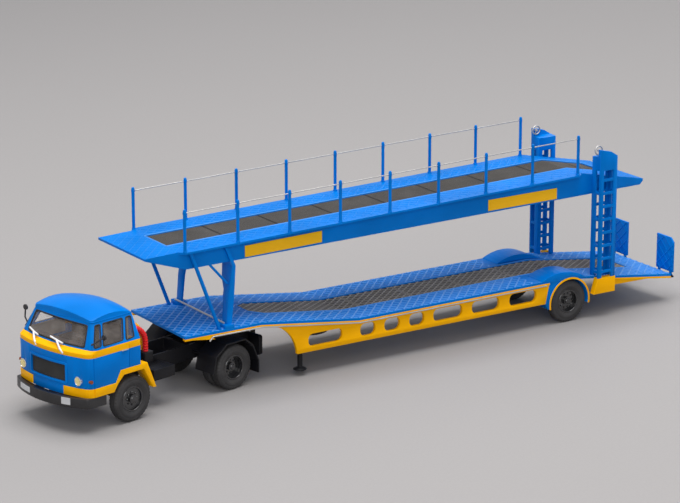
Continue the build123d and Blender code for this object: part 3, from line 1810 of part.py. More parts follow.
# Inside of the cab, a bench, its back and a dash
floor_z = chassis_top_z + floor_plate
bench = slab(
    (
        (seat_rear_x, floor_z),
        (seat_front_x, floor_z),
        (seat_front_x, seat_top_z),
        (seat_rear_x + seat_back, seat_top_z),
        (seat_rear_x + seat_back, seat_back_z),
        (seat_rear_x, seat_back_z),
    ),
    -seat_half,
    seat_half,
)
dash_front_x = cab_front_x - cab_wall
dash = slab(
    (
        (dash_front_x - dash_depth, dash_top_z - dash_height),
        (dash_front_x, dash_top_z - dash_height),
        (dash_front_x, belt_low_z),
        (dash_front_x - dash_depth, belt_low_z),
    ),
    -cab_half,
    cab_half,
)
dash = (dash & body_form(cab_wall, skirt_z, belt_low_z)) + slab(
    (
        (dash_front_x - dash_depth, belt_low_z),
        (sill_front_x - cab_wall, belt_low_z),
        (sill_front_x - cab_wall, dash_top_z),
        (dash_front_x - dash_depth, dash_top_z),
    ),
    -seat_half,
    seat_half,
)

wheel_plane = Plane(
    origin=(steer_x, steer_y, steer_z),
    x_dir=(0, 1, 0),
    z_dir=(-steer_lean_share, 0, 1),
)
ring = Torus(steer_radius, steer_ring).moved(wheel_plane.location)
hub_bar = rod(
    (steer_x, steer_y - steer_radius, steer_z),
    (steer_x, steer_y + steer_radius, steer_z),
    steer_ring,
)
column = rod((steer_x, steer_y, steer_z), (steer_foot_x, steer_y, steer_foot_z), column_radius)
tractor["cab_interior"] = bench + dash + ring + hub_bar + column

# Air lines behind the cab, each a bent tube from the rear wall down to a block on the rails
with BuildPart() as hose_block:
    with BuildSketch(Plane.XY.offset(chassis_top_z)):
        with Locations((hose_low_x, (rail_in_b + hose_block_out) / 2)):
            RectangleRounded(hose_radius * 4, hose_block_out - rail_in_b, hose_radius / 2)
    extrude(amount=hose_foot_z - chassis_top_z)
tractor["tractor_chassis"] = chassis.part + hose_block.part
for name, y, top_z in hose_table:
    with BuildPart() as hose:
        with BuildLine() as run:
            FilletPolyline(
                (cab_rear_x, y, top_z),
                (hose_low_x, y, top_z),
                (hose_low_x, y, hose_foot_z),
                radius=hose_bend,
            )
        with BuildSketch(Plane(origin=run.line @ 0, z_dir=run.line % 0)):
            Circle(hose_radius)
        sweep()
    tractor[name] = hose.part

# The tractor stands turned on the kingpin; everything is then placed over the origin
turn = Location((0, 0, 0), (0, 0, 1), tractor_turn)
pieces = {name: piece.moved(turn) for name, piece in tractor.items()}
pieces.update(trailer)
boxes = [piece.bounding_box() for piece in pieces.values()]
centre = Vector(
    (min(box.min.X for box in boxes) + max(box.max.X for box in boxes)) / 2,
    (min(box.min.Y for box in boxes) + max(box.max.Y for box in boxes)) / 2,
    min(box.min.Z for box in boxes),
)
os.makedirs("parts", exist_ok=True)
for name, piece in pieces.items():
    placed = piece.moved(Location(-centre))
    placed.label = name
    export_step(placed, f"parts/{name}.step")
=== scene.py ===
import json
from math import atan2, ceil, cos, floor, pi, radians, sin

import bmesh
import bpy
from mathutils import Matrix, Vector
from mathutils.bvhtree import BVHTree


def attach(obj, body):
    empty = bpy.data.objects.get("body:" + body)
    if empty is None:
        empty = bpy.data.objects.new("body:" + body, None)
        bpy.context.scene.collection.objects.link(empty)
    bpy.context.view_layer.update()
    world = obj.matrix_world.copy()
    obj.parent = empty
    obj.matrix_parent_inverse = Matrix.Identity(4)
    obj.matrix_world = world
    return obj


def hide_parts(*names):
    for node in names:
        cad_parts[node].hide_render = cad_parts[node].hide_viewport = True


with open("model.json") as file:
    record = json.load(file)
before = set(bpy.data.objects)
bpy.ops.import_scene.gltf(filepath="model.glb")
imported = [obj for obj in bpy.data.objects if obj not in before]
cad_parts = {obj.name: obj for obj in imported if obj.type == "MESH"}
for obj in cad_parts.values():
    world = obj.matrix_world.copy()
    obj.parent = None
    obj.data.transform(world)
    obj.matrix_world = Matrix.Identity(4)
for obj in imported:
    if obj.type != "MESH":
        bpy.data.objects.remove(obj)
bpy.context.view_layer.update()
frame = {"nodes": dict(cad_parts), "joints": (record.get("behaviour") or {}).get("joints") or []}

# sizes below are in millimetres from the kingpin, as the model was drawn; the matrices turn them into metres
joints = {joint["name"]: joint for joint in frame["joints"]}
kingpin = Vector(joints["tractor_turn"]["pos_m"])
driveAxis = joints["drive_wheels_spin"]["axis"]
tractorAngle = atan2(-driveAxis[0], driveAxis[1])
millimetre = 0.001
# in metres: corners nearer than this are joined, in pieces made here and in copies of drawn ones
weldMade, weldDrawn = 1e-7, 2e-6
trailerPlace = Matrix.Translation((kingpin.x, kingpin.y, 0)) @ Matrix.Scale(millimetre, 4)
tractorPlace = trailerPlace @ Matrix.Rotation(tractorAngle, 4, "Z")
print("frame loaded,", len(frame["nodes"]), "nodes")

# camera, as the photograph was taken
view = {
    "aim": (-93.68, 0, 56.6),
    "distance": 1539,
    "azimuth": 146.84,
    "elevation": 16.05,
    "lens": 148.55,
    "sensor": 36,
    "clip": (0.01, 50),
}
azimuth, elevation = radians(view["azimuth"]), radians(view["elevation"])
back = Vector((sin(azimuth) * cos(elevation), -cos(azimuth) * cos(elevation), sin(elevation)))
camera = bpy.data.objects.new("camera", bpy.data.cameras.new("camera"))
bpy.context.scene.collection.objects.link(camera)
camera.data.lens = view["lens"]
camera.data.sensor_width = view["sensor"]
camera.location = trailerPlace @ (Vector(view["aim"]) + back * view["distance"])
camera.rotation_mode = "QUATERNION"
camera.rotation_quaternion = (-back).to_track_quat("-Z", "Y")
camera.data.clip_start, camera.data.clip_end = view["clip"]
bpy.context.scene.camera = camera
bpy.context.scene.view_settings.view_transform = "Standard"


class Wire:
    # one socket of a material, so that shader maths reads as plain sums
    def __init__(self, finish, socket):
        self.finish = finish
        self.socket = socket

    def __add__(self, other):
        return self.finish.maths("ADD", self, other)

    def __radd__(self, other):
        return self.finish.maths("ADD", other, self)

    def __sub__(self, other):
        return self.finish.maths("SUBTRACT", self, other)

    def __rsub__(self, other):
        return self.finish.maths("SUBTRACT", other, self)

    def __mul__(self, other):
        return self.finish.maths("MULTIPLY", self, other)

    def __rmul__(self, other):
        return self.finish.maths("MULTIPLY", other, self)


class Finish:
    # one material, built node by node
    def __init__(self, name):
        self.material = bpy.data.materials.new(name)
        self.material.use_nodes = True
        self.tree = self.material.node_tree
        self.tree.nodes.clear()
        self.out = self.tree.nodes.new("ShaderNodeOutputMaterial")
        self.place = self.node("ShaderNodeTexCoord", output="Object")

    def node(self, kind, settings=None, sockets=None, output=0):
        made = self.tree.nodes.new(kind)
        for name, value in (settings or {}).items():
            setattr(made, name, value)
        for name, value in (sockets or {}).items():
            self.feed(made.inputs[name], value)
        return Wire(self, made.outputs[output])

    def feed(self, socket, value):
        if isinstance(value, Wire):
            self.tree.links.new(value.socket, socket)
        else:
            socket.default_value = value

    def maths(self, operation, *values, clamp=False):
        settings = {"operation": operation, "use_clamp": clamp}
        return self.node("ShaderNodeMath", settings, dict(enumerate(values)))

    def mix(self, mask, low, high):
        # inputs 6 and 7 are the two colours, output 2 their mix
        return self.node("ShaderNodeMix", {"data_type": "RGBA"}, {0: mask, 6: low, 7: high}, 2)

    def noise(self, scale, detail=2.0, stretch=None):
        place = self.place
        if stretch:
            place = self.node("ShaderNodeVectorMath", {"operation": "MULTIPLY"}, {0: place, 1: stretch})
        return self.node("ShaderNodeTexNoise", None, {"Vector": place, "Scale": scale, "Detail": detail})

    def spread(self, value, low, high, newLow=0.0, newHigh=1.0):
        sockets = {0: value, 1: low, 2: high, 3: newLow, 4: newHigh}
        return self.node("ShaderNodeMapRange", {"clamp": True}, sockets)

    def edges(self, radius, gain):
        # a rounded normal for the bump, and a mask for painted highlight along edges, where the rounded normal leaves
        # the true one
        rounded = self.node("ShaderNodeBevel", {"samples": 4}, {"Radius": radius})
        flat = self.node("ShaderNodeNewGeometry", output="Normal")
        facing = self.node("ShaderNodeVectorMath", {"operation": "DOT_PRODUCT"}, {0: rounded, 1: flat}, "Value")
        return rounded, self.maths("MULTIPLY", 1 - facing, gain, clamp=True)

    def bump(self, height, strength, distance, normal=None):
        sockets = {"Height": height, "Strength": strength, "Distance": distance}
        if normal:
            sockets["Normal"] = normal
        return self.node("ShaderNodeBump", None, sockets)

    def surface(self, sockets):
        shader = self.node("ShaderNodeBsdfPrincipled", None, sockets)
        self.feed(self.out.inputs["Surface"], shader)
        return self.material


def shade(colour, factor):
    return tuple(min(1.0, channel * factor) for channel in colour[:3]) + (1,)


def evenly(low, high, count):
    # values from low to high, both ends among them
    return [low + (high - low) * i / (count - 1) for i in range(count)]


# sprayed and moulded surfaces of the model
def gloss(name, colour, rough=0.32, edge=1.25, shine=0.16, drift=0.95):
    f = Finish(name)
    broad = f.spread(f.noise(38, 2), 0.35, 0.65)
    fine = f.noise(700, 2)
    return f.surface({
        "Base Color": f.mix(broad, shade(colour, drift), shade(colour, edge * 0.5 + 0.5)),
        "Roughness": f.spread(fine, 0.3, 0.7, rough - 0.04, rough + 0.05),
        "Specular IOR Level": shine,
        "Normal": f.bump(fine, 0.05, 0.00002),
    })


def satin(name, colour, rough=0.5, grain=0.18, dust=0.25, pale=(0.16, 0.16, 0.165, 1), scale=900, shine=0.4):
    f = Finish(name)
    speck = f.noise(scale, 4)
    film = f.spread(f.noise(60, 4), 0.42, 0.75)
    rounded, rim = f.edges(0.00025, 2.6)
    body = f.mix(film * dust, colour, pale)
    # edges painted towards pale: a painted highlight where pale is lighter than the colour, painted shade where it is
    # darker
    body = f.mix(rim * 0.4, body, pale)
    return f.surface({
        "Base Color": body,
        "Roughness": f.spread(speck, 0.3, 0.7, rough - 0.08, rough + 0.1),
        "Specular IOR Level": shine,
        "Normal": f.bump(speck, grain, 0.00006, rounded),
    })


def metal(name, colour, rough=0.2, streak=(1, 1, 1), scale=700, weight=1.0):
    f = Finish(name)
    lines = f.noise(scale, 4, streak)
    tarnish = f.spread(f.noise(90, 3), 0.4, 0.75)
    return f.surface({
        "Base Color": f.mix(tarnish * 0.5, colour, shade(colour, 0.72)),
        "Metallic": weight,
        "Roughness": f.spread(lines, 0.3, 0.7, rough - 0.06, rough + 0.12),
        "Normal": f.bump(lines, 0.12, 0.00003),
    })


def tyreRubber(name):
    f = Finish(name)
    speck = f.noise(1400, 5)
    bloom = f.spread(f.noise(120, 4), 0.35, 0.75)
    rounded, rim = f.edges(0.0002, 2.2)
    body = f.mix(bloom, (0.03, 0.029, 0.03, 1), (0.052, 0.05, 0.051, 1))
    # painted highlight: the tyre's edges lightened towards grey
    body = f.mix(rim * 0.6, body, (0.1, 0.098, 0.1, 1))
    return f.surface({
        "Base Color": body,
        "Roughness": f.spread(speck, 0.3, 0.7, 0.56, 0.74),
        "Specular IOR Level": 0.4,
        "Normal": f.bump(speck, 0.25, 0.00006, rounded),
    })


def paneGlass(name, tint, alpha, rough=0.05):
    # a hazy clear moulding, seen by its sheen and a faint film
    f = Finish(name)
    smear = f.spread(f.noise(160, 4), 0.45, 0.75)
    return f.surface({
        "Base Color": f.mix(smear * 0.5, tint, shade(tint, 0.85)),
        "Roughness": f.spread(smear, 0.0, 1.0, rough, rough + 0.06),
        "Specular IOR Level": 0.5,
        "Alpha": f.spread(smear, 0.0, 1.0, alpha - 0.03, alpha + 0.04),
    })


bluePaint = gloss("bluePaint", (0.0, 0.166, 0.58, 1), shine=0.05)
# deck blue made lighter and more cyan for the raised ridges: a painted highlight
ridgeHighlightBlue = gloss("ridgeHighlightBlue", (0.075, 0.29, 0.72, 1), rough=0.34, edge=1.1, shine=0.14)
yellowPaint = gloss("yellowPaint", (1.0, 0.475, 0.0, 1), rough=0.36, edge=1.0, shine=0.08)
boardPaint = gloss("boardPaint", (0.93, 0.5, 0.008, 1), rough=0.45, edge=1.04)
chassisBlack = satin("chassisBlack", (0.007, 0.007, 0.009, 1), rough=0.42, dust=0.05, shine=0.22)
bumperBlack = satin("bumperBlack", (0.019, 0.018, 0.019, 1), rough=0.36, dust=0.1)
rimBlack = gloss("rimBlack", (0.012, 0.012, 0.0135, 1), rough=0.14, edge=1.6, shine=1.0)
grilleGrey = satin("grilleGrey", (0.03, 0.029, 0.027, 1), rough=0.5, dust=0.3)
gratingGrey = satin(
    "gratingGrey", (0.02, 0.019, 0.018, 1), rough=0.6, dust=0.3, pale=(0.06, 0.056, 0.052, 1), shine=0.2,
)
# strands coloured far lighter than the dark grating beneath: a painted highlight
strandHighlightGrey = satin("strandHighlightGrey", (0.24, 0.22, 0.19, 1), rough=0.45, dust=0.5, pale=(0.4, 0.37, 0.32, 1))
upperGrey = satin("upperGrey", (0.1, 0.092, 0.086, 1), rough=0.5, dust=0.4, pale=(0.16, 0.15, 0.14, 1), shine=0.25)
tyreBlack = tyreRubber("tyreBlack")
rubberTrim = satin("rubberTrim", (0.012, 0.012, 0.013, 1), rough=0.55, dust=0.1)
silverWire = metal("silverWire", (0.6, 0.585, 0.56, 1), rough=0.34, streak=(0.08, 1, 1), weight=0.7)
chrome = metal("chrome", (0.86, 0.86, 0.86, 1), rough=0.14)
silverPaint = metal("silverPaint", (0.86, 0.86, 0.87, 1), rough=0.42, weight=0.15)
# the cab panes' pale film is partly haze and partly painted reflection that brightens them
cabGlass = paneGlass("cabGlass", (0.78, 0.7, 0.64, 1), 0.085)
lampGlass = paneGlass("lampGlass", (0.98, 0.94, 0.7, 1), 0.16)
lampCream = gloss("lampCream", (0.9, 0.76, 0.3, 1), rough=0.2, edge=1.1, shine=0.6)
orangeLens = gloss("orangeLens", (0.24, 0.05, 0.012, 1), rough=0.25, edge=1.6, shine=0.5)
redHose = gloss("redHose", (0.78, 0.012, 0.012, 1), rough=0.34, edge=1.1, shine=0.35)
yellowHose = gloss("yellowHose", (0.9, 0.42, 0.006, 1), rough=0.36, edge=1.1, shine=0.3)
seatBrown = satin(
    "seatBrown", (0.07, 0.042, 0.036, 1), rough=0.55, grain=0.4, dust=0.3, pale=(0.16, 0.12, 0.1, 1), scale=500,
)
liningTaupe = satin("liningTaupe", (0.42, 0.36, 0.31, 1), rough=0.5, dust=0.3, pale=(0.5, 0.45, 0.4, 1))
plateWhite = satin("plateWhite", (0.62, 0.63, 0.64, 1), rough=0.42, dust=0.3, pale=(0.42, 0.43, 0.44, 1))
print("finishes made")

nodeFinish = {
    bluePaint: (
        "cab_lower", "cab_upper", "front_posts", "front_stays", "grille_frame", "lower_deck", "rail_posts",
        "ramp_left", "ramp_right", "towers", "upper_deck", "wheel_arches",
    ),
    yellowPaint: ("arch_lips", "cab_belt", "side_frames", "tower_feet", "wings"),
    boardPaint: ("name_boards",),
    chassisBlack: (
        "axle_carriers", "axle_hangers", "battery_and_tank", "coupling", "drive_axle", "front_axle",
        "kingpin_plate", "landing_legs", "mudguards", "ramp_hinges", "tractor_chassis", "trailer_axle",
    ),
    bumperBlack: ("bumper", "mirrors"),
    rimBlack: ("drive_rims", "front_rims", "spare_rim", "trailer_rims"),
    tyreBlack: ("drive_tyres", "front_tyres", "spare_tyre", "trailer_tyres"),
    gratingGrey: ("lower_grating", "upper_grating"),
    grilleGrey: ("grille_insert",),
    silverWire: ("edge_wires", "rail_wires"),
    chrome: ("door_handles", "pulleys", "headlamps"),
    silverPaint: ("wipers",),
    cabGlass: ("cab_glass",),
    orangeLens: ("indicators",),
    redHose: ("red_air_line",),
    yellowHose: ("yellow_air_line",),
    seatBrown: ("cab_interior",),
    plateWhite: ("blank_plates",),
}
finishOf = {}
for material, names in nodeFinish.items():
    for name in names:
        finishOf[name] = material
for name, node in frame["nodes"].items():
    for slot in node.material_slots:
        slot.material = finishOf[name]

floorPlate = {"half": 6.0, "grey": (0.332, 0.316, 0.31, 1), "cloud": 0.985}


def floorFinish():
    f = Finish("floorPaper")
    broad = f.noise(1.4, 2)
    fibre = f.noise(700, 3)
    grey = floorPlate["grey"]
    return f.surface({
        "Base Color": f.mix(f.spread(broad, 0.3, 0.7), shade(grey, floorPlate["cloud"]), grey),
        "Roughness": f.spread(fibre, 0.3, 0.7, 0.75, 0.9),
        "Normal": f.bump(fibre, 0.05, 0.0001),
    })


half = floorPlate["half"]
floorMesh = bpy.data.meshes.new("floor")
floorMesh.from_pydata([(-half, -half, 0), (half, -half, 0), (half, half, 0), (-half, half, 0)], [], [(0, 1, 2, 3)])
floorMesh.materials.append(floorFinish())
ground = bpy.data.objects.new("floor", floorMesh)
bpy.context.scene.collection.objects.link(ground)

# soft studio light: a box overhead, a weaker one on the camera's side and one behind, and a pale room
lamps = {
    # place and size in metres, power
    "overhead": ((0.0, 0.04, 1.5), (1.3, 1.3), 26.5),
    "cameraSide": ((0.9, 1.5, 0.9), (1.1, 0.8), 8),
    "rear": ((-1.3, -0.8, 0.9), (1.0, 0.8), 3),
}
for name, (place, size, power) in lamps.items():
    light = bpy.data.lights.new(name, "AREA")
    light.shape = "RECTANGLE"
    light.size, light.size_y = size
    light.energy = power
    lamp = bpy.data.objects.new(name, light)
    bpy.context.scene.collection.objects.link(lamp)
    lamp.location = place
    lamp.rotation_mode = "QUATERNION"
    lamp.rotation_quaternion = (-Vector(place)).to_track_quat("-Z", "Y")
roomLight = {"Color": (0.93, 0.95, 1.0, 1), "Strength": 0.52}
room = bpy.data.worlds.new("room")
bpy.context.scene.world = room
room.use_nodes = True
for name, value in roomLight.items():
    room.node_tree.nodes["Background"].inputs[name].default_value = value
print("camera, floor and light set")


class Shape:
    # corners and faces of one piece, gathered in millimetres
    def __init__(self):
        self.corners = []
        self.faces = []
        self.skins = []

    def add(self, corners, faces, skin=0):
        first = len(self.corners)
        self.corners += [tuple(c) for c in corners]
        self.faces += [tuple(first + i for i in face) for face in faces]
        self.skins += [skin] * len(faces)

    def rings(self, rings, closed=False):
        # skin over a row of rings, with ends unless it is closed
        count = len(rings[0])
        corners = [corner for ring in rings for corner in ring]
        faces = []
        for i in range(len(rings) if closed else len(rings) - 1):
            here, there = i * count, (i + 1) % len(rings) * count
            for j in range(count):
                k = (j + 1) % count
                faces.append((here + j, here + k, there + k, there + j))
        if not closed:
            faces.append(tuple(range(count))[::-1])
            faces.append(tuple((len(rings) - 1) * count + j for j in range(count)))
        self.add(corners, faces)

    def tube(self, path, radius, sides=10, closed=False):
        # a round bar along points; radius is one number or one for each point
        path = [Vector(p) for p in path]
        radii = radius if isinstance(radius, (list, tuple)) else [radius] * len(path)
        made = []
        across = None
        for i, point in enumerate(path):
            ahead = path[(i + 1) % len(path)] if closed or i + 1 < len(path) else point
            behind = path[i - 1] if closed or i else point
            along = (ahead - behind).normalized()
            if across is None:
                across = along.orthogonal().normalized()
            across = (across - along * across.dot(along)).normalized()
            other = along.cross(across)
            ring = []
            for j in range(sides):
                angle = 2 * pi * j / sides
                ring.append(point + (across * cos(angle) + other * sin(angle)) * radii[i])
            made.append(ring)
        self.rings(made, closed)

    def spin(self, profile, centre, axis, steps=48, closed=True, skin=0, wave=None):
        # profile gives (radius, distance along the axis); wave may change a radius round the turn
        axis = Vector(axis).normalized()
        across = axis.orthogonal().normalized()
        other = axis.cross(across)
        centre = Vector(centre)
        made = []
        for i in range(steps):
            angle = 2 * pi * i / steps
            way = across * cos(angle) + other * sin(angle)
            ring = []
            for j, (radius, along) in enumerate(profile):
                size = wave(i, j, radius) if wave else radius
                ring.append(centre + way * size + axis * along)
            made.append(ring)
        count = len(profile)
        faces = []
        for i in range(steps):
            here, there = i * count, (i + 1) % steps * count
            for j in range(count if closed else count - 1):
                k = (j + 1) % count
                faces.append((here + j, there + j, there + k, here + k))
        corners = [corner for ring in made for corner in ring]
        if not closed:
            faces.append(tuple(i * count for i in range(steps)))
            faces.append(tuple(i * count + count - 1 for i in range(steps))[::-1])
        self.add(corners, faces, skin)

    def block(self, outline, depth):
        # a flat outline of points pushed along a vector
        outline = [Vector(p) for p in outline]
        self.rings([outline, [p + Vector(depth) for p in outline]])

    def ridge(self, path, up, width, height):
        # a low rounded bead lying on a face; height is one number or one for each point
        path = [Vector(p) for p in path]
        heights = height if isinstance(height, (list, tuple)) else [height] * len(path)
        up = Vector(up)
        made = []
        for i, point in enumerate(path):
            along = (path[min(i + 1, len(path) - 1)] - path[max(i - 1, 0)]).normalized()
            across = along.cross(up).normalized() * width / 2
            foot, shoulder = -0.03 * up, 0.72 * heights[i] * up
            made.append([
                point - across + foot,
                point - 0.45 * across + shoulder,
                point + heights[i] * up,
                point + 0.45 * across + shoulder,
                point + across + foot,
            ])
        self.rings(made)


def makePiece(name, shape, finishes, body, place=trailerPlace, smooth=35, replaced=(), bevel=0.0, slot=None):
    mesh = bpy.data.meshes.new(name)
    mesh.from_pydata(shape.corners, [], shape.faces)
    mesh.transform(place)
    finishes = finishes if isinstance(finishes, (list, tuple)) else [finishes]
    for material in finishes:
        mesh.materials.append(material)
    for face, skin in zip(mesh.polygons, shape.skins):
        face.material_index = skin
    tidy = bmesh.new()
    tidy.from_mesh(mesh)
    bmesh.ops.remove_doubles(tidy, verts=tidy.verts, dist=weldMade)
    bmesh.ops.recalc_face_normals(tidy, faces=tidy.faces)
    tidy.to_mesh(mesh)
    tidy.free()
    mesh.shade_smooth()
    mesh.set_sharp_from_angle(angle=radians(smooth))
    piece = bpy.data.objects.new(name, mesh)
    bpy.context.scene.collection.objects.link(piece)
    if bevel:
        rounding = piece.modifiers.new("rounding", "BEVEL")
        rounding.width = bevel * millimetre
        rounding.segments = 2
        rounding.limit_method = "ANGLE"
        rounding.harden_normals = True
    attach(piece, body)
    if replaced:
        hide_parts(*replaced)


def soften(node, width, body, slot, angle=24, flat=1.2):
    # a copy of a drawn part with its edges broken, as a casting or a moulding has them: faces that differ by
    # less than flat are one face, and edges sharper than angle are broken
    source = frame["nodes"][node]
    mesh = source.data.copy()
    tidy = bmesh.new()
    tidy.from_mesh(mesh)
    bmesh.ops.remove_doubles(tidy, verts=tidy.verts, dist=weldDrawn)
    bmesh.ops.dissolve_limit(tidy, angle_limit=radians(flat), verts=tidy.verts, edges=tidy.edges)
    tidy.to_mesh(mesh)
    tidy.free()
    mesh.materials.clear()
    mesh.materials.append(finishOf[node])
    mesh.shade_smooth()
    piece = bpy.data.objects.new("soft_" + node, mesh)
    bpy.context.scene.collection.objects.link(piece)
    piece.matrix_world = source.matrix_world
    rounding = piece.modifiers.new("rounding", "BEVEL")
    rounding.width = width * millimetre
    rounding.segments = 2
    rounding.limit_method = "ANGLE"
    rounding.angle_limit = radians(angle)
    rounding.harden_normals = True
    rounding.use_clamp_overlap = True
    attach(piece, body)
    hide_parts(node)


softened = {
    # drawn part: width of the broken edge, body, slot
    "axle_carriers": (0.2, "tractor", "black_chassis"),
    "battery_and_tank": (0.3, "tractor", "black_chassis"),
    "bumper": (0.45, "tractor", "black_chassis"),
    "cab_belt": (0.12, "tractor", "yellow_paint"),
    "cab_lower": (0.16, "tractor", "blue_paint"),
    "cab_upper": (0.4, "tractor", "blue_paint"),
    "coupling": (0.3, "tractor", "black_chassis"),
    "door_handles": (0.22, "tractor", "wire"),
    "front_posts": (0.25, "trailer", "blue_paint"),
    "grille_frame": (0.3, "tractor", "blue_paint"),
    "landing_legs": (0.15, "trailer", "black_chassis"),
    "lower_deck": (0.2, "trailer", "blue_paint"),
    "mudguards": (0.2, "tractor", "black_chassis"),
    "name_boards": (0.08, "trailer", "yellow_paint"),
    "ramp_left": (0.22, "left_ramp", "blue_paint"),
    "ramp_right": (0.22, "right_ramp", "blue_paint"),
    "side_frames": (0.22, "trailer", "yellow_paint"),
    "tower_feet": (0.25, "trailer", "yellow_paint"),
    "towers": (0.2, "trailer", "blue_paint"),
    "tractor_chassis": (0.25, "tractor", "black_chassis"),
    "upper_deck": (0.22, "trailer", "blue_paint"),
    "wheel_arches": (0.25, "trailer", "blue_paint"),
    "wings": (0.22, "tractor", "yellow_paint"),
}
for node, (width, body, slot) in softened.items():
    soften(node, width, body, slot)
print("edges broken")

# line of each deck's face from front to rear: x, z at its ends and bends
decks = {
    "lower": ((21.5, 35.2), (-25.2, 35.2), (-87.5, 27.0), (-231.0, 27.0), (-305.6, 16.7)),
    "upper": ((42.4, 79.7), (17.0, 80.6), (-240.0, 85.7), (-285.5, 76.2)),
}


def heightOn(deck, x):
    line = decks[deck]
    for (x0, z0), (x1, z1) in zip(line, line[1:]):
        if x >= x1 or (x1, z1) == line[-1]:
            return z0 + (z1 - z0) * (x0 - x) / (x0 - x1)


def bendsBetween(deck, x0, x1):
    return sorted(x for x, z in decks[deck][1:-1] if min(x0, x1) < x < max(x0, x1))


# raised diamond tread on the wheel tracks, the gooseneck and the ramps
tread = {
    # along and across: one diamond; width and height: one ridge, whose height swings by dip
    "along": 5.8,
    "across": 5.9,
    "width": 1.0,
    "height": 0.3,
    "dip": 0.12,
    # points to a diamond's length, and the shortest ridge worth laying
    "steps": 8,
    "shortest": 0.4,
    # rear, front, right, left
    "zones": (
        (-30.3, 21.3, -28.7, 28.7),
        (-206.0, -30.7, 12.2, 28.7),
        (-206.0, -30.7, -28.7, -12.2),
        (-286.8, -244.5, 12.2, 28.7),
        (-286.8, -244.5, -28.7, -12.2),
        (-305.3, -287.4, -28.7, 28.7),
    ),
}


def diamondLines(low, high, left, right, along=tread["along"], across=tread["across"]):
    # both families of slanting lines that cross a rectangle
    for way in (1, -1):
        slope = way * across / along
        feet = [x - y / slope for x in (low, high) for y in (left, right)]
        for k in range(floor(min(feet) / along), ceil(max(feet) / along) + 1):
            foot = k * along
            ends = sorted((foot + left / slope, foot + right / slope))
            start, stop = max(low, ends[0]), min(high, ends[1])
            if stop - start > tread["shortest"]:
                yield start, slope * (start - foot), stop, slope * (stop - foot)


def runOver(deck, x0, y0, x1, y1, steps=1, sink=0.0):
    # a straight run over a deck, with a point at every bend
    places = [x0 + (x1 - x0) * i / steps for i in range(steps + 1)] + bendsBetween(deck, x0, x1)
    places.sort(reverse=x1 < x0)
    return [(x, y0 + (y1 - y0) * (x - x0) / (x1 - x0), heightOn(deck, x) - sink) for x in places]


def layTread(name, deck, sizes, finish):
    shape = Shape()
    for low, high, left, right in sizes["zones"]:
        for x0, y0, x1, y1 in diamondLines(low, high, left, right):
            # a ridge swells between its crossings and dips where they meet
            steps = max(2, round((x1 - x0) / tread["along"] * sizes["steps"])) if sizes["dip"] else 1
            path = runOver(deck, x0, y0, x1, y1, steps)
            heights = [sizes["height"] - sizes["dip"] * cos(2 * pi * y / tread["across"]) for x, y, z in path]
            shape.ridge(path, (0, 0, 1), sizes["width"], heights)
    makePiece(name, shape, finish, "trailer", slot="blue_paint")


# the lower deck's ridges take the lightened blue, a painted highlight
layTread("deckTread", "lower", tread, ridgeHighlightBlue)

upperTread = {
    "width": 0.9,
    "height": 0.13,
    "dip": 0,
    "zones": (
        (22.4, 42.0, -24.6, 24.6),
        (-269.0, 21.6, 12.3, 24.6),
        (-269.0, 21.6, -24.6, -12.3),
        (-285.0, -269.8, -24.6, 24.6),
    ),
}
layTread("upperTread", "upper", upperTread, bluePaint)

ramps = {
    "faceX": -306.87,
    "footZ": 17.6,
    "headZ": 37.5,
    # height and distance from the middle add up to this on the ramp's cut corner
    "cornerSum": 63.6,
    "left": ("left_ramp", 13.9, 28.3),
    "right": ("right_ramp", -28.3, -13.9),
}
for side in ("left", "right"):
    body, left, right = ramps[side]
    rampShape = Shape()
    for z0, y0, z1, y1 in diamondLines(ramps["footZ"], ramps["headZ"], left, right):
        if z1 + abs(y1) > ramps["cornerSum"]:
            continue
        path = [(ramps["faceX"], y0, z0), (ramps["faceX"], y1, z1)]
        rampShape.ridge(path, (1, 0, 0), tread["width"], tread["height"])
    makePiece(side + "RampTread", rampShape, bluePaint, body, slot="blue_paint")

# rims round the sunk gratings
wellRims = {
    "width": 0.75,
    "height": 0.45,
    "lines": {
        "lower": ((-30.6, 6.5), (-37.6, 11.85), (-287.4, 11.85)),
        "upper": ((21.9, 11.85), (-269.4, 11.85)),
    },
}
rims = Shape()
for deck, line in wellRims["lines"].items():
    for side in (1, -1):
        path = []
        for (x0, y0), (x1, y1) in zip(line, line[1:]):
            path = path[:-1] + runOver(deck, x0, side * y0, x1, side * y1)
        rims.ridge(path, (0, 0, 1), wellRims["width"], wellRims["height"])
    for x, y in (line[0], line[-1]):
        path = [(x, -y, heightOn(deck, x)), (x, y, heightOn(deck, x))]
        rims.ridge(path, (0, 0, 1), wellRims["width"], wellRims["height"])
# the well rims take the lightened blue, a painted highlight
makePiece("wellRims", rims, ridgeHighlightBlue, "trailer", slot="blue_paint")
print("tread laid")

# gratings, in panels with a seam between them: an open mesh below, fine strands above
grating = {
    "pitch": 34.7,
    "shortest": 3.0,
    "seam": 0.6,
    "sink": 0.4,
}
mesh = {
    "front": -30.8,
    "rear": -287.0,
    "halfWidth": 10.9,
    "along": 5.0,
    "across": 4.1,
    "width": 1.0,
    "height": 0.42,
    "endWidth": 0.7,
    "endHeight": 0.36,
    "endLap": 0.1,
    # the well's front corners are cut off from here on, at this slope
    "cornerX": -37.5,
    "cornerSlope": 5 / 7,
    "cornerStep": 0.25,
    "slack": 0.01,
    "shortest": 0.5,
}


def panelsOf(sizes):
    # front and rear of each panel, without the seams
    front = sizes["front"]
    while front > sizes["rear"] + grating["shortest"]:
        rear = max(front - grating["pitch"], sizes["rear"])
        yield front - grating["seam"], rear + grating["seam"]
        front -= grating["pitch"]


def insideWell(x, y):
    return abs(y) <= mesh["halfWidth"] - max(0, x - mesh["cornerX"]) * mesh["cornerSlope"] + mesh["slack"]


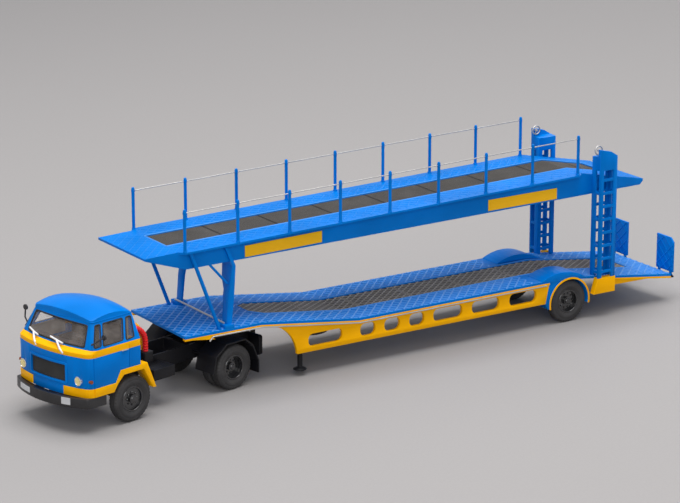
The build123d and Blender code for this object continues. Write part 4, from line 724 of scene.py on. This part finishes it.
meshShape = Shape()
half = mesh["halfWidth"]
for front, rear in panelsOf(mesh):
    for x0, y0, x1, y1 in diamondLines(rear, front, -half, half, mesh["along"], mesh["across"]):
        slant = (y1 - y0) / (x1 - x0)
        while x1 > x0 + mesh["shortest"] and not insideWell(x1, y1):
            x1, y1 = x1 - mesh["cornerStep"], y1 - mesh["cornerStep"] * slant
        if x1 > x0 + mesh["shortest"]:
            path = runOver("lower", x0, y0, x1, y1, sink=grating["sink"])
            meshShape.ridge(path, (0, 0, 1), mesh["width"], mesh["height"])
    for x in (rear - mesh["endLap"], front + mesh["endLap"]):
        if x < mesh["cornerX"]:
            z = heightOn("lower", x) - grating["sink"]
            meshShape.ridge([(x, -half, z), (x, half, z)], (0, 0, 1), mesh["endWidth"], mesh["endHeight"])
# the open mesh's strands carry the painted highlight colour
makePiece("lowerStrands", meshShape, strandHighlightGrey, "trailer", slot="grating")

strands = {
    "front": 21.7,
    "rear": -269.0,
    "count": 36,
    "halfWidth": 10.767,
    "wave": 1.5,
    "swing": 0.09,
    "width": 0.24,
    "height": 0.12,
}
strandShape = Shape()
for front, rear in panelsOf(strands):
    for i, y in enumerate(evenly(-strands["halfWidth"], strands["halfWidth"], strands["count"])):
        path = []
        for j in range(int((front - rear) / strands["wave"] * 2) + 1):
            x = front - j * strands["wave"] / 2
            swing = strands["swing"] * (1 if (i + j) % 2 else -1)
            path.append((x, y + swing, heightOn("upper", x) - grating["sink"]))
        strandShape.ridge(path, (0, 0, 1), strands["width"], strands["height"])
makePiece("upperStrands", strandShape, upperGrey, "trailer", slot="grating")
print("gratings laid")

# tyres: beads, bulged sides with rings, rounded shoulders with cut blocks and grooves round the tread
tyre = {
    "radius": 12.2,
    "width": 6.2,
    "rim": 6.9,
    "blocks": 40,
    "blockSteps": 4,
    "groove": 0.42,
    # blocks are cut into the shoulders, outside this radius and this distance from the middle
    "cut": 0.32,
    "cutRadius": 11.1,
    "cutFrom": 1.55,
}


def tyreProfile():
    # one side from the bead to the tread, then three grooves, then the other side
    r, w, rim = tyre["radius"], tyre["width"] / 2, tyre["rim"]
    side = [
        (rim, 0.74 * w),
        (rim + 0.25, 0.83 * w),
        (rim + 0.8, 0.86 * w),
        (rim + 0.95, 0.92 * w),
        (rim + 1.25, 0.94 * w),
        (rim + 1.4, 0.985 * w),
        (rim + 2.3, w),
        (rim + 3.1, 0.985 * w),
        (rim + 3.2, 0.955 * w),
        (rim + 3.4, 0.95 * w),
        (rim + 3.5, 0.965 * w),
        (r - 1.05, 0.93 * w),
        (r - 0.55, 0.86 * w),
        (r - 0.2, 0.74 * w),
        (r - 0.02, 0.58 * w),
    ]
    grooves = []
    for middle in (0.36, 0.0, -0.36):
        grooves += [
            (r, (middle + 0.075) * w),
            (r - tyre["groove"], (middle + 0.05) * w),
            (r - tyre["groove"], (middle - 0.05) * w),
            (r, (middle - 0.075) * w),
        ]
    return side + grooves + [(radius, -along) for radius, along in reversed(side)]


tyreLine = tyreProfile()
tyreSteps = tyre["blocks"] * tyre["blockSteps"]
shoulders = [
    j for j, (radius, along) in enumerate(tyreLine)
    if abs(along) > tyre["cutFrom"] and radius > tyre["cutRadius"]
]


def blockCuts(step, j, radius):
    return radius - tyre["cut"] if j in shoulders and step % tyre["blockSteps"] == 0 else radius


wheels = {
    "front": {"x": 67.5, "body": "front_wheelset", "y": (24.7, -24.7), "place": tractorPlace},
    "drive": {"x": -4.0, "body": "drive_wheelset", "y": (25.0, 17.4, -17.4, -25.0), "place": tractorPlace},
    "trailer": {"x": -231.0, "body": "trailer_wheelset", "y": (25.4, -25.4), "place": trailerPlace},
}
for name, wheel in wheels.items():
    rubber = Shape()
    for y in wheel["y"]:
        centre = (wheel["x"], y, tyre["radius"])
        rubber.spin(tyreLine, centre, (0, 1, 0), steps=tyreSteps, wave=blockCuts)
    drawn = [name + "_tyres"]
    makePiece(name + "Tyres", rubber, tyreBlack, wheel["body"], wheel["place"], smooth=40, replaced=drawn, slot="tyre")
spareCentre = (-72.0, 0, 18.4)
spareRubber = Shape()
spareRubber.spin(tyreLine, spareCentre, (0, 0, 1), steps=tyreSteps, wave=blockCuts)
makePiece("spareTyre", spareRubber, tyreBlack, "trailer", smooth=40, replaced=["spare_tyre"], slot="tyre")

# wheel faces: rolled rim edge, seat ring, nuts round the hub and hub cap
hubs = {
    # wheel: seat of the disc outside the tyre's middle, nuts, ring of the nuts, cap radius, cap length
    "front": (1.45, 8, 3.3, 1.7, 1.9),
    "drive": (-0.75, 8, 3.6, 1.5, 2.1),
    "trailer": (0.28, 10, 4.2, 1.6, 2.3),
}
hubProfiles = {
    # radius, distance outwards from the tyre's middle, the disc's seat or the nut's foot
    "rimEdge": ((6.0, 2.1), (6.25, 2.45), (6.6, 2.49), (6.85, 2.25), (6.85, 1.85), (6.0, 1.85)),
    "seatRing": ((5.1, -0.1), (5.1, 0.22), (5.45, 0.22), (5.6, -0.1)),
    "nut": ((0.52, 0), (0.52, 0.36), (0.36, 0.52), (0.2, 0.55), (0.2, 0.8), (0.03, 0.82)),
}
nutSink = 0.02


def capProfile(radius, length):
    foot = [(radius + 0.5, -0.05), (radius + 0.5, 0.5), (radius + 0.1, 0.7)]
    return foot + [(radius, length - 0.35), (radius - 0.35, length), (0.05, length + 0.08)]


for name, (seat, nuts, ring, capRadius, capLength) in hubs.items():
    wheel = wheels[name]
    shape = Shape()
    for side in (1, -1):
        axis = Vector((0, side, 0))
        middle = Vector((wheel["x"], side * max(wheel["y"]), tyre["radius"]))
        disc = middle + axis * seat
        shape.spin(hubProfiles["rimEdge"], middle, axis, steps=64)
        shape.spin(hubProfiles["seatRing"], disc, axis, steps=64)
        shape.spin(capProfile(capRadius, capLength), disc, axis, steps=40, closed=False)
        for i in range(nuts):
            angle = 2 * pi * i / nuts
            foot = disc + Vector((cos(angle) * ring, -side * nutSink, sin(angle) * ring))
            shape.spin(hubProfiles["nut"], foot, axis, steps=6, closed=False)
    makePiece(name + "Hubs", shape, rimBlack, wheel["body"], wheel["place"], smooth=30, slot="rim")
print("wheels made")

# cab surfaces in millimetres from the kingpin, to lay trim on
cabPlace = tractorPlace.inverted()
cabCorners, cabFaces = [], []
for node in ("cab_upper", "cab_glass", "cab_belt", "cab_lower"):
    source = frame["nodes"][node]
    first = len(cabCorners)
    cabCorners += [cabPlace @ (source.matrix_world @ v.co) for v in source.data.vertices]
    cabFaces += [[first + i for i in face.vertices] for face in source.data.polygons]
cabSkin = BVHTree.FromPolygons(cabCorners, cabFaces)


def roundedLine(corners, radius, step=0.8):
    # a closed outline in two measures, its corners rounded and its runs cut into short steps
    made = []
    for i, corner in enumerate(corners):
        here = Vector(corner)
        behind = (Vector(corners[i - 1]) - here).normalized()
        ahead = (Vector(corners[(i + 1) % len(corners)]) - here).normalized()
        start, stop = here + behind * radius, here + ahead * radius
        if made:
            run = start - made[-1]
            count = max(1, int(run.length / step))
            made += [made[-1] + run * (j / count) for j in range(1, count)]
        for j in range(5):
            share = j / 4
            made.append(start * (1 - share) ** 2 + here * 2 * share * (1 - share) + stop * share ** 2)
    run = made[0] - made[-1]
    count = max(1, int(run.length / step))
    return made + [made[-1] + run * (j / count) for j in range(1, count)]


def onSkin(start, way, lift):
    spot, normal, face, run = cabSkin.ray_cast(Vector(start), Vector(way))
    return spot + normal * lift if spot else None


# black rubber round the windscreen and the side panes
rubbers = {
    # the screen's corners are across and up, the panes' along and up
    "screen": ((22.0, 44.9), (20.0, 55.0), (-20.0, 55.0), (-22.0, 44.9)),
    "panes": (
        ((73.7, 45.1), (87.0, 45.1), (83.2, 55.2), (70.0, 55.2)),
        ((88.4, 45.1), (92.6, 45.1), (88.4, 55.2), (85.0, 55.2)),
        ((66.2, 45.1), (71.7, 45.1), (67.8, 55.2), (64.4, 55.2)),
    ),
    "screenRadius": 0.45,
    "paneRadius": 0.36,
    "screenCorner": 1.6,
    "paneCorner": 0.9,
    "lift": 0.02,
}
# points clear of the cab, from which its faces are sought
clearFront, clearSide = 130, 60
seals = Shape()
line = roundedLine(rubbers["screen"], rubbers["screenCorner"])
spots = [onSkin((clearFront, y, z), (-1, 0, 0), rubbers["lift"]) for y, z in line]
seals.tube([spot for spot in spots if spot], rubbers["screenRadius"], sides=8, closed=True)
for corners in rubbers["panes"]:
    line = roundedLine(corners, rubbers["paneCorner"])
    for side in (1, -1):
        spots = [onSkin((x, side * clearSide, z), (0, -side, 0), rubbers["lift"]) for x, z in line]
        seals.tube([spot for spot in spots if spot], rubbers["paneRadius"], sides=8, closed=True)
makePiece("windowSeals", seals, rubberTrim, "tractor", tractorPlace)

# rain gutter round the foot of the roof
gutter = {
    "line": ((63.2, 22.4), (63.2, -22.4), (89.7, -22.4), (90.9, 0), (89.7, 22.4)),
    "corner": 1.6,
    "step": 1.5,
    "z": 56.7,
    "radius": 0.34,
}
gutterShape = Shape()
line = [(x, y, gutter["z"]) for x, y in roundedLine(gutter["line"], gutter["corner"], gutter["step"])]
gutterShape.tube(line, gutter["radius"], sides=8, closed=True)
makePiece("roofGutter", gutterShape, bluePaint, "tractor", tractorPlace, slot="blue_paint")

# the cab's front and the bumper's inner face are one arc each: centre, radius
arcs = {"cab": (22.33, 79.07), "bumper": (49.76, 54.04)}


def arcAt(arc, y, out=0.0):
    centre, radius = arcs[arc]
    return centre + (radius ** 2 - y * y) ** 0.5 + out


# dark grille of fine bars in its sunk field
bars = {
    "low": 26.4,
    "high": 34.7,
    "half": 12.9,
    "sunk": -0.8,
    "count": 24,
    "points": 17,
    "uprights": 45,
    "overrun": 0.2,
    "width": 0.2,
    "height": 0.16,
    "uprightHeight": 0.12,
}
grilleShape = Shape()
for z in evenly(bars["low"], bars["high"], bars["count"]):
    line = evenly(-bars["half"], bars["half"], bars["points"])
    path = [(arcAt("cab", y, bars["sunk"]), y, z) for y in line]
    grilleShape.ridge(path, (1, 0, 0), bars["width"], bars["height"])
for y in evenly(-bars["half"], bars["half"], bars["uprights"]):
    x = arcAt("cab", y, bars["sunk"])
    path = [(x, y, bars["low"] - bars["overrun"]), (x, y, bars["high"] + bars["overrun"])]
    grilleShape.ridge(path, (1, 0, 0), bars["width"], bars["uprightHeight"])
makePiece("grilleBars", grilleShape, grilleGrey, "tractor", tractorPlace)

# headlamps: a chrome ring, a cream dish with rings and a domed glass
headLamp = {
    "centre": (98.2, 21.5, 27.9),
    # profiles: radius, distance forwards
    "ring": ((2.0, 0.9), (2.2, 1.3), (2.48, 1.1), (2.48, -0.8), (2.0, -0.8)),
    "dish": (
        (2.1, -1.6), (2.1, 0.9), (1.7, 0.55), (1.2, 0.3), (0.7, 0.22), (0.66, 0.7), (0.3, 0.9), (0.04, 0.92),
    ),
    "glassRadius": 2.15,
    "glassFoot": 1.0,
    "glassRise": 0.95,
    "glassAngles": (0, 18, 36, 54, 72, 88),
}
dome = [
    (headLamp["glassRadius"] * cos(radians(a)), headLamp["glassFoot"] + headLamp["glassRise"] * sin(radians(a)))
    for a in headLamp["glassAngles"]
]
lampShape = Shape()
for side in (1, -1):
    x, y, z = headLamp["centre"]
    centre = (x, side * y, z)
    lampShape.spin(headLamp["ring"], centre, (1, 0, 0), steps=40, skin=0)
    lampShape.spin(headLamp["dish"], centre, (1, 0, 0), steps=40, closed=False, skin=1)
    lampShape.spin(dome, centre, (1, 0, 0), steps=40, closed=False, skin=2)
makePiece(
    "headLamps", lampShape, [chrome, lampCream, lampGlass], "tractor", tractorPlace,
    smooth=40, replaced=["headlamps"], slot="lamp",
)

# wipers: a spindle boss, a bent arm and a slanting blade on a short carrier
wipers = {
    # foot, elbow and head of the arm, left and right end of the blade
    "places": (
        ((100.3, 11.6, 41.2), (100.9, 10.0, 43.0), (98.15, 4.4, 45.9), (97.9, 9.0, 45.0), (98.0, -0.4, 46.7)),
        ((100.6, -8.8, 41.2), (100.4, -10.4, 43.0), (96.95, -15.1, 46.0), (97.7, -10.6, 45.1), (95.6, -19.6, 46.8)),
    ),
    "arm": (0.56, 0.56, 0.5),
    "blade": (0.45, 0.52, 0.45),
    "boss": ((0.6, -0.3), (0.6, 0.4), (0.4, 0.6), (0.03, 0.62)),
    "bossAxis": (1, 0, 0.4),
}
wiperShape = Shape()
for foot, elbow, head, bladeLeft, bladeRight in wipers["places"]:
    wiperShape.tube([foot, elbow, head], wipers["arm"], sides=8)
    wiperShape.tube([bladeLeft, head, bladeRight], wipers["blade"], sides=8)
    wiperShape.spin(wipers["boss"], foot, wipers["bossAxis"], steps=16, closed=False)
makePiece("wiperArms", wiperShape, silverPaint, "tractor", tractorPlace, smooth=50, replaced=["wipers"])

# dark plate that closes the gap between the bumper and the apron
apron = {"half": 22, "points": 25, "low": 18.7, "thick": 0.5, "lap": 0.05}
line = evenly(-apron["half"], apron["half"], apron["points"])
outline = [(arcAt("cab", y, apron["lap"]), y, apron["low"]) for y in line]
outline += [(arcAt("bumper", y), y, apron["low"]) for y in reversed(line)]
apronShape = Shape()
apronShape.block(outline, (0, 0, apron["thick"]))
makePiece("apronPlate", apronShape, chassisBlack, "tractor", tractorPlace, slot="black_chassis")

# lining of the cab's rear wall, in four fields round its window
lining = {
    "front": 64.65,
    "rear": 64.2,
    "half": 21.0,
    "low": 40.0,
    "high": 55.8,
    "windowHalf": 8.7,
    "windowLow": 45.5,
    "windowHigh": 54.5,
}
lined = Shape()
for y0, y1, z0, z1 in (
    (lining["windowHalf"], lining["half"], lining["low"], lining["high"]),
    (-lining["half"], -lining["windowHalf"], lining["low"], lining["high"]),
    (-lining["windowHalf"], lining["windowHalf"], lining["windowHigh"], lining["high"]),
    (-lining["windowHalf"], lining["windowHalf"], lining["low"], lining["windowLow"]),
):
    outline = [(lining["rear"], y, z) for y, z in ((y0, z0), (y1, z0), (y1, z1), (y0, z1))]
    lined.block(outline, (lining["front"] - lining["rear"], 0, 0))
makePiece("rearLining", lined, liningTaupe, "tractor", tractorPlace, bevel=0.15, slot="interior")

# lining inside the doors and side walls, up to the sills
doorLining = {
    "rear": 66.0,
    "step": 1.8,
    "count": 17,
    "low": 36.5,
    "rise": 0.9,
    "levels": 10,
    # the walls are sought from inside the cab; where there is none, this is the reach
    "from": 12,
    "reach": 20.0,
    "gap": 0.1,
    "depth": 0.45,
}
doorShape = Shape()
levels = [doorLining["low"] + doorLining["rise"] * i for i in range(doorLining["levels"])]
for side in (1, -1):
    rings = []
    for i in range(doorLining["count"]):
        x = doorLining["rear"] + doorLining["step"] * i
        reach = []
        for z in levels:
            spot = cabSkin.ray_cast(Vector((x, side * doorLining["from"], z)), Vector((0, side, 0)))[0]
            reach.append(abs(spot.y) if spot else doorLining["reach"])
        outer = [(x, side * (y - doorLining["gap"]), z) for y, z in zip(reach, levels)]
        inner = [(x, side * (y - doorLining["depth"]), z) for y, z in zip(reach, levels)]
        rings.append(outer + inner[::-1])
    doorShape.rings(rings)
makePiece("sideLining", doorShape, liningTaupe, "tractor", tractorPlace, slot="interior")

# mirror heads, domed behind and flat towards the driver
mirrors = {
    "centres": ((88.5, 30.2, 50.5), (92.0, -26.9, 55.2)),
    "profile": (
        (0.05, 0.4), (0.7, 0.36), (1.2, 0.2), (1.48, -0.1), (1.48, -0.4), (1.3, -0.4), (1.28, -0.32), (0.05, -0.3),
    ),
}
mirrorShape = Shape()
for centre in mirrors["centres"]:
    mirrorShape.spin(mirrors["profile"], centre, (1, 0, 0), steps=32, closed=False)
makePiece("mirrorHeads", mirrorShape, bumperBlack, "tractor", tractorPlace, smooth=40)


def bentPath(points, radius, steps=10):
    # a line through points with its bends rounded
    points = [Vector(p) for p in points]
    made = [points[0]]
    for behind, here, ahead in zip(points, points[1:], points[2:]):
        one, two = (behind - here).normalized() * radius, (ahead - here).normalized() * radius
        for i in range(steps + 1):
            angle = pi / 2 * i / steps
            made.append(here + one * (1 - sin(angle)) + two * (1 - cos(angle)))
    return made + [points[-1]]


def evenSteps(path, step):
    # points along a line at one distance from each other
    made = [path[0]]
    left = step
    for start, stop in zip(path, path[1:]):
        run = (stop - start).length
        at = left
        while at <= run:
            made.append(start.lerp(stop, at / run))
            at += step
        left = at - run
    return made


# coiled air lines, from the cab's wall back and down to the chassis
coils = {
    # y, z at the wall, finish, slot
    "red": (14.6, 44.4, redHose, "red_hose"),
    "yellow": (11.2, 46.0, yellowHose, "yellow_hose"),
}
coil = {
    "wall": 62.55,
    "bend": 47.2,
    "foot": 30.45,
    "corner": 9.0,
    "pitch": 1.45,
    # radii over one turn of the coil
    "radii": (1.1, 1.36, 1.5, 1.5, 1.5, 1.36),
}
for colour, (y, z, finish, slot) in coils.items():
    corners = [(coil["wall"], y, z), (coil["bend"], y, z), (coil["bend"], y, coil["foot"])]
    path = evenSteps(bentPath(corners, coil["corner"]), coil["pitch"] / len(coil["radii"]))
    radii = [coil["radii"][i % len(coil["radii"])] for i in range(len(path))]
    coilShape = Shape()
    coilShape.tube(path, radii, sides=20)
    drawn = [colour + "_air_line"]
    makePiece(
        colour + "AirLine", coilShape, finish, "tractor", tractorPlace, smooth=70, replaced=drawn, slot=slot,
    )

# loose rings on pins at the towers' heads, each with a short link
ring = {
    "centre": (-249.2, 29.3, 98.6),
    "radius": 2.5,
    "wire": 0.42,
    "steps": 32,
    "pin": ((0.68, -0.8), (0.68, 0.8), (0.5, 0.95), (0.03, 0.97)),
    "link": 0.3,
    "linkOut": 0.4,
}
ringShape = Shape()
for side in (1, -1):
    x, y, z = ring["centre"]
    centre = Vector((x, side * y, z))
    angles = [2 * pi * i / ring["steps"] for i in range(ring["steps"])]
    line = [centre + Vector((cos(a) * ring["radius"], 0, sin(a) * ring["radius"])) for a in angles]
    ringShape.tube(line, ring["wire"], closed=True)
    ringShape.spin(ring["pin"], centre, (0, side, 0), steps=20, closed=False)
    linkTop = centre + Vector((0, side * ring["linkOut"], 0))
    ringShape.tube([linkTop, linkTop - Vector((0, 0, ring["radius"]))], ring["link"], sides=8)
makePiece("towerRings", ringShape, silverWire, "trailer", smooth=40, replaced=["pulleys"], slot="wire")

# rivets along the upper deck's flange, on the towers and the post feet, and collars on the rail posts
rivets = {
    # a stud's size is its radius and height
    "flange": {"count": 12, "front": 8.0, "pitch": 21.0, "y": 28.35, "drop": 0.9, "size": (0.45, 0.3)},
    "posts": {"count": 9, "front": 19.8, "pitch": 32.0, "y": 27.2},
    "footCollar": ((0.8, 0), (1.15, 0), (1.15, 0.35), (0.95, 0.7), (0.8, 0.75)),
    "headCollar": ((0.82, 20.2), (0.98, 20.3), (0.98, 21.6), (0.82, 21.7)),
    "postFeet": ((-3.9, 27.6, 37.2), (-7.7, 21.8, 37.2)),
    "postFeetSize": (0.5, 0.35),
    "tower": (-249.6, 32.65),
    "towerLevels": (33.0, 48.0, 63.0, 78.0, 91.5),
    "towerSize": (0.4, 0.05),
}
studs = Shape()


def stud(spot, way, size, shape=studs):
    radius, height = size
    profile = [(radius, -0.05), (radius, height * 0.45), (radius * 0.75, height * 0.85), (0.03, height)]
    shape.spin(profile, spot, way, steps=10, closed=False)


for side in (1, -1):
    row = rivets["flange"]
    for i in range(row["count"]):
        x = row["front"] - i * row["pitch"]
        stud((x, side * row["y"], heightOn("upper", x) - row["drop"]), (0, side, 0), row["size"])
    row = rivets["posts"]
    for i in range(row["count"]):
        x = row["front"] - i * row["pitch"]
        for collar in (rivets["footCollar"], rivets["headCollar"]):
            studs.spin(collar, (x, side * row["y"], heightOn("upper", x)), (0, 0, 1), steps=16)
    for x, y, z in rivets["postFeet"]:
        stud((x, side * y, z), (0, 0, 1), rivets["postFeetSize"])
    x, y = rivets["tower"]
    for z in rivets["towerLevels"]:
        stud((x, side * y, z), (0, side, 0), rivets["towerSize"])
makePiece("rivets", studs, bluePaint, "trailer", slot="blue_paint")

# on each tower's outer face a dark screw head above, and a pressed slot in the foot plate
towerFace = {
    "y": 32.45,
    "screw": (-254.3, 93.2),
    "screwSize": (0.55, 0.22),
    "slot": ((-257.4, 20.0), (-250.6, 20.0), (-250.6, 22.6), (-257.4, 22.6)),
    "slotCorner": 0.9,
    "slotRadius": 0.22,
}
screws, slots = Shape(), Shape()
for side in (1, -1):
    x, z = towerFace["screw"]
    stud((x, side * towerFace["y"], z), (0, side, 0), towerFace["screwSize"], screws)
    line = [(x, side * towerFace["y"], z) for x, z in roundedLine(towerFace["slot"], towerFace["slotCorner"])]
    slots.tube(line, towerFace["slotRadius"], sides=8, closed=True)
makePiece("screws", screws, chassisBlack, "trailer")
makePiece("footSlots", slots, yellowPaint, "trailer", slot="yellow_paint")
print("cab trim and small parts made")
